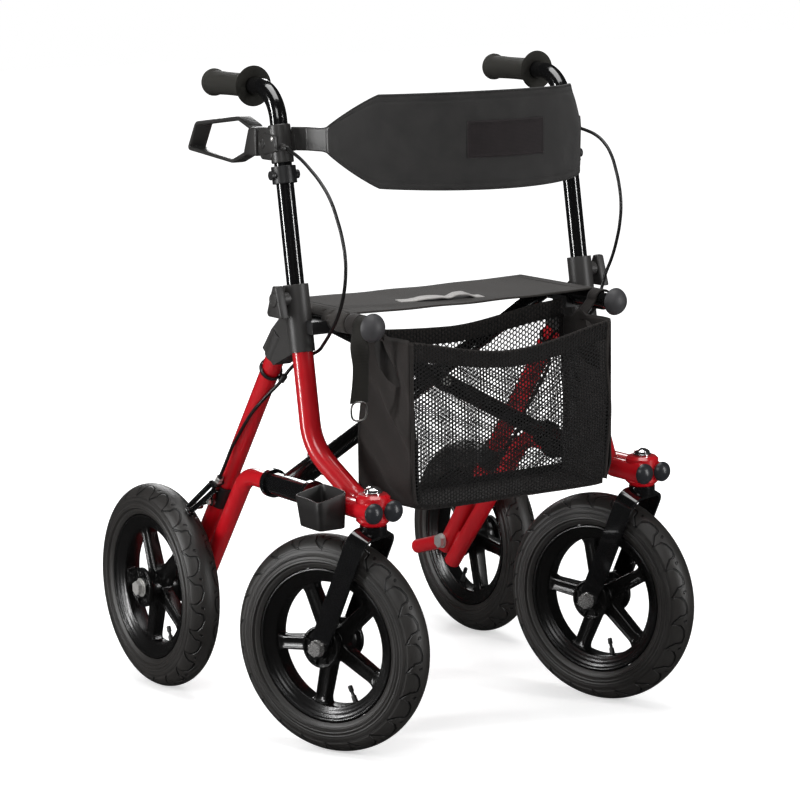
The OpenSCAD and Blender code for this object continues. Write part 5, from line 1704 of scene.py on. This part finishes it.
@dataclass
class Basket:
    """Shopping basket: cloth sides and bottom, net front and back."""

    front_x: float = 0.172
    back_x: float = 0.192
    front_y: float = -0.301
    back_y: float = -0.186
    low: float = 0.340
    high: float = 0.578
    dip: float = 0.026
    cell: float = 0.0032
    creases: Sequence[Point] = (
        (0.28, 0.06, 0.003), (0.40, 0.07, -0.003), (0.62, 0.045, 0.006), (0.74, 0.07, -0.005),
        (0.90, 0.06, 0.003), (1.04, 0.045, 0.006), (1.16, 0.07, -0.004))
    side_share: float = 0.36
    corner: float = 0.008
    tube: tuple[float, float] = (0.208, 0.598)
    loop_r: float = 0.0143
    strap_y: float = -0.2486
    strap_r: float = 0.0140
    webbing: float = 0.029
    ring_half: float = 0.0125
    ring_drop: float = 0.0265
    ring_wire: float = 0.0015

    def half_width(self, y: float, z: float = 0.34) -> float:
        """Half width of the basket, whose rear leans in towards the top.

        Args:
            y: Place along the part.
            z: Height.

        Returns:
            The half width.
        """
        share = (y - self.front_y) / (self.back_y - self.front_y)
        lean = 0.007 + 0.013 * smooth_step((z - 0.42) / 0.14)
        return self.front_x + (self.back_x - self.front_x) * share - lean * smooth_step(share)

    def rim(self, u: float) -> float:
        """Height of the front's upper edge at a share of the width."""
        return self.high - self.dip * math.sin(math.pi * u) ** 1.3

    def front_point(self, u: float, w: float, front: bool = True, out: float = 0.0) -> Vector:
        """Point of the front or back panel.

        Args:
            u: Share of the width, from left to right.
            w: Share of the height.
            front: The front panel, or the back one.
            out: Distance outward from the panel.

        Returns:
            The point.
        """
        arch = math.sin(math.pi * u)
        if front:
            y, sign, top = self.front_y, -1.0, self.rim(u)
            belly = 0.007 * arch * math.sin(math.pi * min(1.0, w * 1.05))
        else:
            y, sign = self.back_y, 1.0
            top = self.high + 0.004 - 0.008 * arch + 0.015 * smooth_step((u - 0.4) / 0.5)
            belly = -0.003 * arch
        z = self.low + (top - self.low) * w
        wave = 0.0016 * math.sin(7 * u + 5 * w) * arch
        x = self.half_width(y, z) * (2 * u - 1)
        if front:
            z += 0.012 * abs(2 * u - 1) ** 10 * (1 - w) ** 6
            x *= 1 - 0.03 * (1 - w) ** 12 * abs(2 * u - 1)
            x -= 0.006 * u ** 5 * (0.5 + 0.5 * math.sin(9.0 * w + 0.6))
        return Vector((x, y + sign * (belly + wave + out), z))

    def sides(self) -> None:
        """Add the cloth sides and bottom as one sagging shell."""
        piece = Piece("basket_cloth")
        depth, side = self.back_y - self.front_y, self.side_share

        def shell(u: float, w: float) -> Vector:
            """Point of the shell.

            Args:
                u: Share from the left edge under the bottom to the right edge.
                w: Share from front to back.

            Returns:
                The point.
            """
            y = self.front_y + depth * w
            arch = math.sin(math.pi * w)
            if u < side or u > 1 - side:
                sign = -1 if u < 0.5 else 1
                share = 1 - min(u, 1 - u) / side
                top = self.high + 0.004 * math.cos(math.pi * (w - 0.2)) + 0.010 * bell(y, -0.226, 0.012)
                z = top + (self.low + self.corner - top) * share
                fold = sum(a * bell(share + 0.45 * w, c, d) for c, d, a in self.creases)
                fold *= math.sqrt(math.sin(math.pi * share)) * max(0.0, arch) ** 0.4
                tuck = -0.004 * smooth_step(share / 0.25) * smooth_step((1 - share) / 0.4) * arch
                corner = -self.corner * smooth_step((share - 0.88) / 0.12)
                return Vector((sign * (self.half_width(y, z) + fold + tuck + corner), y, z))
            half = self.half_width(y)
            across = (u - side) / (1 - 2 * side)
            x = (half - self.corner) * (2 * across - 1)
            hang = 0.0012 * math.sin(math.pi * across) * arch
            return Vector((x, y, self.low + 0.0015 + 0.0065 * abs(x / half) ** 14 - hang))

        piece.grid(120, 24, shell, (0.83, depth))
        made = piece.finish(BAG_FABRIC, "bag_fabric", sharp=80.0)
        area = thicken(made, 0.0018)
        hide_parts("basket")
        close_with_seat(made)

    def loops(self) -> None:
        """Add the cloth loops that carry the basket on the seat tubes."""
        piece = Piece("basket_loops")
        (tube_x, tube_z), r, hem = self.tube, self.loop_r, 0.572
        for sign in (-1, 1):
            def wrap(u: float, w: float, sign: int = sign) -> Vector:
                """Point of a loop: up from the side's edge and round the tube.

                Args:
                    u: Share along the loop.
                    w: Share across it.
                    sign: -1 for the left loop, 1 for the right one.

                Returns:
                    The point.
                """
                y = -0.2372 + 0.0222 * w
                if u < 0.2:
                    s = u / 0.2
                    foot = self.half_width(y, hem) - 0.0012
                    return Vector((sign * (foot + (tube_x - r - foot) * s), y, hem + (tube_z - hem) * s))
                turn = math.radians(-90 + 300 * (u - 0.2) / 0.8)
                return Vector((sign * (tube_x + r * math.sin(turn)), y, tube_z + r * math.cos(turn)))

            piece.grid(44, 8, wrap, (0.12, 0.022))
        made = piece.finish(BAG_FABRIC, "bag_fabric", sharp=80.0)
        thicken(made, 0.0016)
        close_with_seat(made)

    def net(self, front: bool) -> None:
        """Add one net panel of six-sided gaps.

        Args:
            front: The front panel, or the back one.
        """
        piece = Piece("net_front" if front else "net_back")
        width = 2 * (self.front_x if front else self.back_x)
        height = self.high - self.low
        size = self.cell if front else self.cell * 1.25
        step_x, step_z = 1.5 * size, math.sqrt(3) * size
        columns, rows = int(width / step_x), int(height / step_z)
        bmesh.ops.create_circle(piece.bm, cap_ends=True, segments=6, radius=size)

        def copied(cells: list[bmesh.types.BMFace], x: float, z: float) -> list[bmesh.types.BMFace]:
            """Copy some cells to a place beside them.

            Args:
                cells: The cells.
                x: How far the copy goes across.
                z: How far it goes up.

            Returns:
                The copied cells.
            """
            copy = bmesh.ops.duplicate(piece.bm, geom=cells)["geom"]
            moved = [g for g in copy if isinstance(g, bmesh.types.BMVert)]
            bmesh.ops.translate(piece.bm, vec=(x, z, 0), verts=moved)
            return [g for g in copy if isinstance(g, bmesh.types.BMFace)]

        strip = list(piece.bm.faces)
        for i in range(1, columns):
            strip += copied(strip[:1], i * step_x, (i % 2) * step_z / 2)
        for k in range(1, rows):
            copied(strip, 0.0, k * step_z)
        bmesh.ops.remove_doubles(piece.bm, verts=piece.bm.verts[:], dist=size * 0.05)
        bmesh.ops.inset_individual(piece.bm, faces=piece.bm.faces[:], thickness=size * 0.3)
        gaps = [f for f in piece.bm.faces if len(f.verts) == 6]
        bmesh.ops.delete(piece.bm, geom=gaps, context="FACES_ONLY")
        xs, ys = ([v.co[i] for v in piece.bm.verts] for i in range(2))
        left, low, wide, high = min(xs), min(ys), max(xs) - min(xs), max(ys) - min(ys)
        shares = {v: ((v.co.x - left) / wide, (v.co.y - low) / high) for v in piece.bm.verts}
        for face in piece.bm.faces:
            for loop in face.loops:
                u, w = shares[loop.vert]
                loop[piece.uv].uv = (u * width, w * height)
        for v, (u, w) in shares.items():
            v.co = self.front_point(u, w, front)
        made = piece.finish(NET_CORD, "mesh", smooth=False)
        thicken(made, 0.0011)
        if front:
            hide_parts("basket_mesh")
        close_with_seat(made)

    def bands(self) -> None:
        """Add the sewn bands round the net panels."""
        piece = Piece("basket_bands")

        def band(front: bool, along: bool, start: float, end: float) -> None:
            """Add one band along a panel's width or height.

            Args:
                front: The front panel, or the back one.
                along: Along the width, or the height.
                start: Share where the band starts.
                end: Share where it ends.
            """
            def surface(u: float, w: float) -> Vector:
                """Point of the band.

                Args:
                    u: Share along the band.
                    w: Share across it.

                Returns:
                    The point.
                """
                share = start + (end - start) * w
                out = -0.0016 if front and along else 0.0012
                return self.front_point(*((u, share) if along else (share, u)), front, out)

            piece.grid(60, 4, surface, (0.35, 0.02))

        for front, upper, lower, left, right in (
                (True, 0.89, 0.028, 0.014, 0.988), (False, 0.9, 0.05, 0.022, 0.978)):
            band(front, True, upper, 1.003)
            band(front, True, 0.0, lower)
            band(front, False, 0.0, left)
            band(front, False, right, 1.0)
        piece.face_out()
        made = piece.finish(BAG_FABRIC, "bag_fabric", sharp=80.0)
        thicken(made, 0.0016)
        close_with_seat(made)

    def hang_strap(self) -> None:
        """Add the strap with its ring, on the left seat tube."""
        piece = Piece("ring_strap")
        (tube_x, z), y, r, webbing = self.tube, self.strap_y, self.strap_r, self.webbing
        x = -tube_x
        hung = x - r - 0.0005

        def ribbon(u: float, w: float) -> Vector:
            """Point of the strap, round the tube, then turned to the front and down to the ring.

            Args:
                u: Share along the strap.
                w: Share across it.

            Returns:
                The point.
            """
            if u < 0.4:
                turn = math.radians(-100 - 350 * (u / 0.4 - 1))
                return Vector((x + r * math.sin(turn), y + (w - 0.5) * webbing, z + r * math.cos(turn)))
            s = (u - 0.4) / 0.6
            twist = math.radians(90) * smooth_step(s / 0.5)
            sway = math.sin(math.pi * s)
            wide = webbing * (1 - 0.12 * sway) * (w - 0.5)
            centre = Vector((hung + 0.002 * sway, y - 0.003 * sway, z - 0.0025 - 0.1025 * s))
            return centre + Vector((-wide * math.sin(twist), wide * math.cos(twist), 0.0))

        piece.grid(90, 10, ribbon, (0.19, webbing))
        made = piece.finish(BLACK_WEBBING, "black_webbing", sharp=80.0)
        area = thicken(made, 0.0016)
        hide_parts("basket_strap")
        close_with_seat(made)
        ring = Piece("strap_ring")
        half, drop, wire = self.ring_half, self.ring_drop, self.ring_wire
        corners = ((-half, 0.0), (half, 0.0), (half, -drop), (-half, -drop))
        path = fillet([Vector(c) for c in corners], 0.0115, 8)
        turns = [math.tau * k / 10 for k in range(10)]
        rings = []
        for i, at in enumerate(path):
            way = (path[(i + 1) % len(path)] - path[i - 1]).normalized()
            middle = Vector((hung + at.x, y, z - 0.1035 + at.y))
            out, side = Vector((-way.y, 0.0, way.x)) * wire, Vector((0.0, wire, 0.0))
            rings.append([middle + out * math.cos(a) + side * math.sin(a) for a in turns])
        ring.sweep(rings)
        hoop = ring.finish(GUN_METAL, "zinc_steel")
        close_with_seat(hoop)

    def build(self) -> None:
        """Add the basket's pieces."""
        self.sides()
        self.loops()
        self.net(True)
        self.net(False)
        self.bands()
        self.hang_strap()


@dataclass
class SmallParts:
    """Cane cup, cable clips and rear brake links."""

    leg_top: Point = (0.246, -0.071, 0.545)
    leg_foot: Point = (0.240, 0.222, 0.155)

    def leg(self, z: float, side: Side) -> Vector:
        """Point of a rear leg's axis at a height.

        Args:
            z: The height.
            side: Which side.

        Returns:
            The point.
        """
        top, foot = Vector(self.leg_top), Vector(self.leg_foot)
        at = top.lerp(foot, (top.z - z) / (top.z - foot.z))
        return Vector((at.x * side.value, at.y, at.z))

    def down(self, side: Side) -> Vector:
        """Direction of a rear leg, from its top to its foot."""
        return (self.leg(self.leg_foot[2], side) - self.leg(self.leg_top[2], side)).normalized()

    def cup(self) -> None:
        """Build the cane cup, a tapered scoop with a sloping rim."""
        piece = Piece("cup_shell")
        inner, outer = -0.2611, -0.3095
        cy, half = -0.2455, 0.0328
        low, top = 0.325, 0.379
        stations = [
            (0.0, 0.0, 0.0), (0.5, 0.0, 0.0), (0.93, 0.0, 0.0), (0.985, 0.015, 0.0), (1.0, 0.05, 0.0),
            (1.0, 0.3, 0.0), (1.0, 0.6, 0.0), (1.0, 0.97, 0.0), (1.0, 1.0, 0.0006), (1.0, 1.0, 0.0019),
            (1.0, 0.97, 0.0025), (1.0, 0.5, 0.0025), (1.0, 0.08, 0.0025), (0.95, 0.05, 0.0025),
            (0.5, 0.05, 0.0025), (0.0, 0.05, 0.0025)]

        def skin(u: float, w: float) -> Vector:
            """Point of the cup.

            Args:
                u: Share around the cup.
                w: Share of its stations.

            Returns:
                The point.
            """
            reach, rise, inset = stations[round(w * (len(stations) - 1))]
            taper = 0.005 * (1 - rise)
            x_in, x_out = inner - inset, outer + inset + taper
            x = (x_in + x_out) / 2 + reach * (x_in - x_out) / 2 * square_off(math.cos(math.tau * u), 0.24)
            y = cy + reach * (half - inset - taper) * square_off(math.sin(math.tau * u), 0.24)
            rim = top - 0.011 * (inner - x) / (inner - outer) - 0.002 * smooth_step((cy - y) / half)
            return Vector((x, y, low + rise * (rim - low)))

        piece.grid(72, len(stations) - 1, skin, (0.2, 0.12))
        bmesh.ops.remove_doubles(piece.bm, verts=piece.bm.verts[:], dist=1e-6)
        piece.face_out()
        piece.mark()
        piece.block((-0.2640, cy - 0.0155, 0.3405), (-0.2570, cy + 0.0155, 0.3635), 0.001)
        made = piece.finish(CUP_PLASTIC, "grey_plastic", sharp=50.0)
        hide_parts("cane_cup")
        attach(made, "left_frame")

    def clip(self, side: Side) -> None:
        """Build the band and barrel that hold a cable to its rear leg.

        Args:
            side: Which side.
        """
        piece = Piece(f"cable_clip_{side.word}")
        down = self.down(side)
        ahead = Vector((0.0, -1.0, 0.0))
        ahead = (ahead - ahead.dot(down) * down).normalized()
        tilt = math.radians(20.0)
        piece.lathe(
            [(0.0152, -0.003), (0.0168, -0.0034), (0.0174, -0.0026), (0.0174, 0.0026), (0.0168, 0.0034),
             (0.0152, 0.003)],
            towards(down * math.cos(tilt) - ahead * math.sin(tilt), self.leg(0.517, side)), 48, closed=True)
        way = Vector((0.0065 * side.value, 0.009, -0.014)).normalized()
        at = Vector((0.2337 * side.value, -0.063, 0.504))
        piece.lathe(sleeve(0.0027, 0.0048, 0.006, 0.0006), towards(way, at), 24, closed=True)
        made = piece.finish(BLACK_PLASTIC, "black_plastic")
        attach(made, f"{side.word}_frame")

    def brake(self, side: Side) -> None:
        """Build a rear brake's two-bar link with its shoe, the band on the leg and the plated nuts.

        Args:
            side: Which side.
        """
        word, sign = side.word, side.value
        piece = Piece(f"brake_link_{word}")
        across = Vector((sign, 0.0, 0.0))

        def spot(x: float, y: float, z: float) -> Vector:
            """Point of this side."""
            return Vector((x * sign, y, z))

        def bar(made: Piece, a: Vector, b: Vector, thick: float) -> None:
            """Add a square bar between two points."""
            half, way = thick / 2, b - a
            made.block((-half, -half, 0.0), (half, half, way.length), 0.0007, towards(way.normalized(), a))

        pivot = spot(0.2610, 0.100, 0.302)
        for a, b, thick in (
                (spot(0.2655, 0.0970, 0.3285), spot(0.2868, 0.1310, 0.2900), 0.0060),
                (spot(0.2650, 0.0830, 0.3235), spot(0.2868, 0.1240, 0.2840), 0.0062),
                (spot(0.2650, 0.0990, 0.3300), spot(0.2646, 0.0805, 0.3235), 0.0056),
                (spot(0.2866, 0.1325, 0.2915), spot(0.2866, 0.1215, 0.2815), 0.0062),
                (pivot, spot(0.2660, 0.0915, 0.3165), 0.0070),
                (spot(0.2640, 0.101, 0.302), spot(0.2800, 0.1180, 0.2935), 0.0046)):
            bar(piece, a, b, thick)
        piece.lathe(
            [(0.0, -0.0002), (0.0072, 0.0), (0.0078, 0.0008), (0.0078, 0.0048), (0.0070, 0.0056),
             (0.0, 0.0056)], towards(across, pivot), 32)
        piece.lathe(
            [(0.0, 0.0), (0.0044, 0.0), (0.005, 0.0008), (0.005, 0.022), (0.0044, 0.023), (0.0, 0.023)],
            towards(across, spot(0.2636, 0.130, 0.290)), 32)
        made = piece.finish(BLACK_PAINT, "black_paint", sharp=35.0)
        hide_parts(f"brake_arm_{word}")
        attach(made, f"{word}_brake")

        body = Piece(f"brake_band_{word}")
        down = self.down(side)
        body.lathe(
            sleeve(0.0142, 0.0176, 0.020, 0.0008), towards(down, self.leg(0.312, side)), 48, closed=True)
        pin = [(0.0, 0.0), (0.0038, 0.0), (0.0038, 0.0100), (0.0, 0.0100)]
        body.lathe(pin, towards(across, spot(0.2575, 0.100, 0.302)), 24)
        bar(body, spot(0.2560, 0.0840, 0.3300), spot(0.2640, 0.0745, 0.3405), 0.0075)
        start = spot(0.264, 0.0728, 0.3428)
        tube = [(0.0027, 0.0), (0.0042, 0.0), (0.0042, 0.0110), (0.0027, 0.0110)]
        body.lathe(tube, towards(down, start), 28, closed=True)
        held = body.finish(BLACK_PLASTIC, "black_plastic", sharp=35.0)
        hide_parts(f"brake_clamp_{word}")
        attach(held, f"{word}_frame")

        nuts = Piece(f"brake_nuts_{word}")
        nut = [(0.0, 0.0), (0.0052, 0.0), (0.0056, 0.0006), (0.0056, 0.0034), (0.0048, 0.0042), (0.0, 0.0042)]
        nuts.lathe(nut, towards(across, spot(0.2674, 0.100, 0.302)), 6)
        locknut = [(0.0043, 0.0), (0.0060, 0.0004), (0.0060, 0.0034), (0.0043, 0.0038)]
        for along in (0.0012, 0.0068):
            nuts.lathe(locknut, towards(down, start + down * along), 6, closed=True)
        metal = nuts.finish(ZINC, "zinc_steel", smooth=False)
        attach(metal, f"{word}_frame")

    def build(self) -> None:
        """Add the cup, and each side's clip and brake link."""
        self.cup()
        for side in Side:
            self.clip(side)
            self.brake(side)


class FrameDress:
    """Finishes on the nodes that keep their own shape."""

    def build(self) -> None:
        """Give every node its slot's finish, or a finish of its own."""
        slots = {part["node"]: part["material_slot"] for part in frame["record"]["subparts"]}
        for name, node in frame["nodes"].items():
            finish = BY_SLOT[slots[name]]
            if name.startswith("frame_plugs"):
                finish = PLUG_PLASTIC
            elif name.startswith("axle_front"):
                finish = BOLT_STEEL
            if node.data.materials:
                for i in range(len(node.data.materials)):
                    node.data.materials[i] = finish.build()
            else:
                node.data.materials.append(finish.build())
        LOG.info("dressed %d nodes", len(frame["nodes"]))


def main() -> None:
    """Build the studio and every piece, in order."""
    Studio().build()
    for side in Side:
        BrakeCables().build(side)
    FrameDress().build()
    for end in End:
        for side in Side:
            Wheel(end, side).build()
    for side in Side:
        Handle(side).build()
    Seat().build()
    BackBelt().build()
    Basket().build()
    SmallParts().build()


if __name__ == "__main__":
    main()
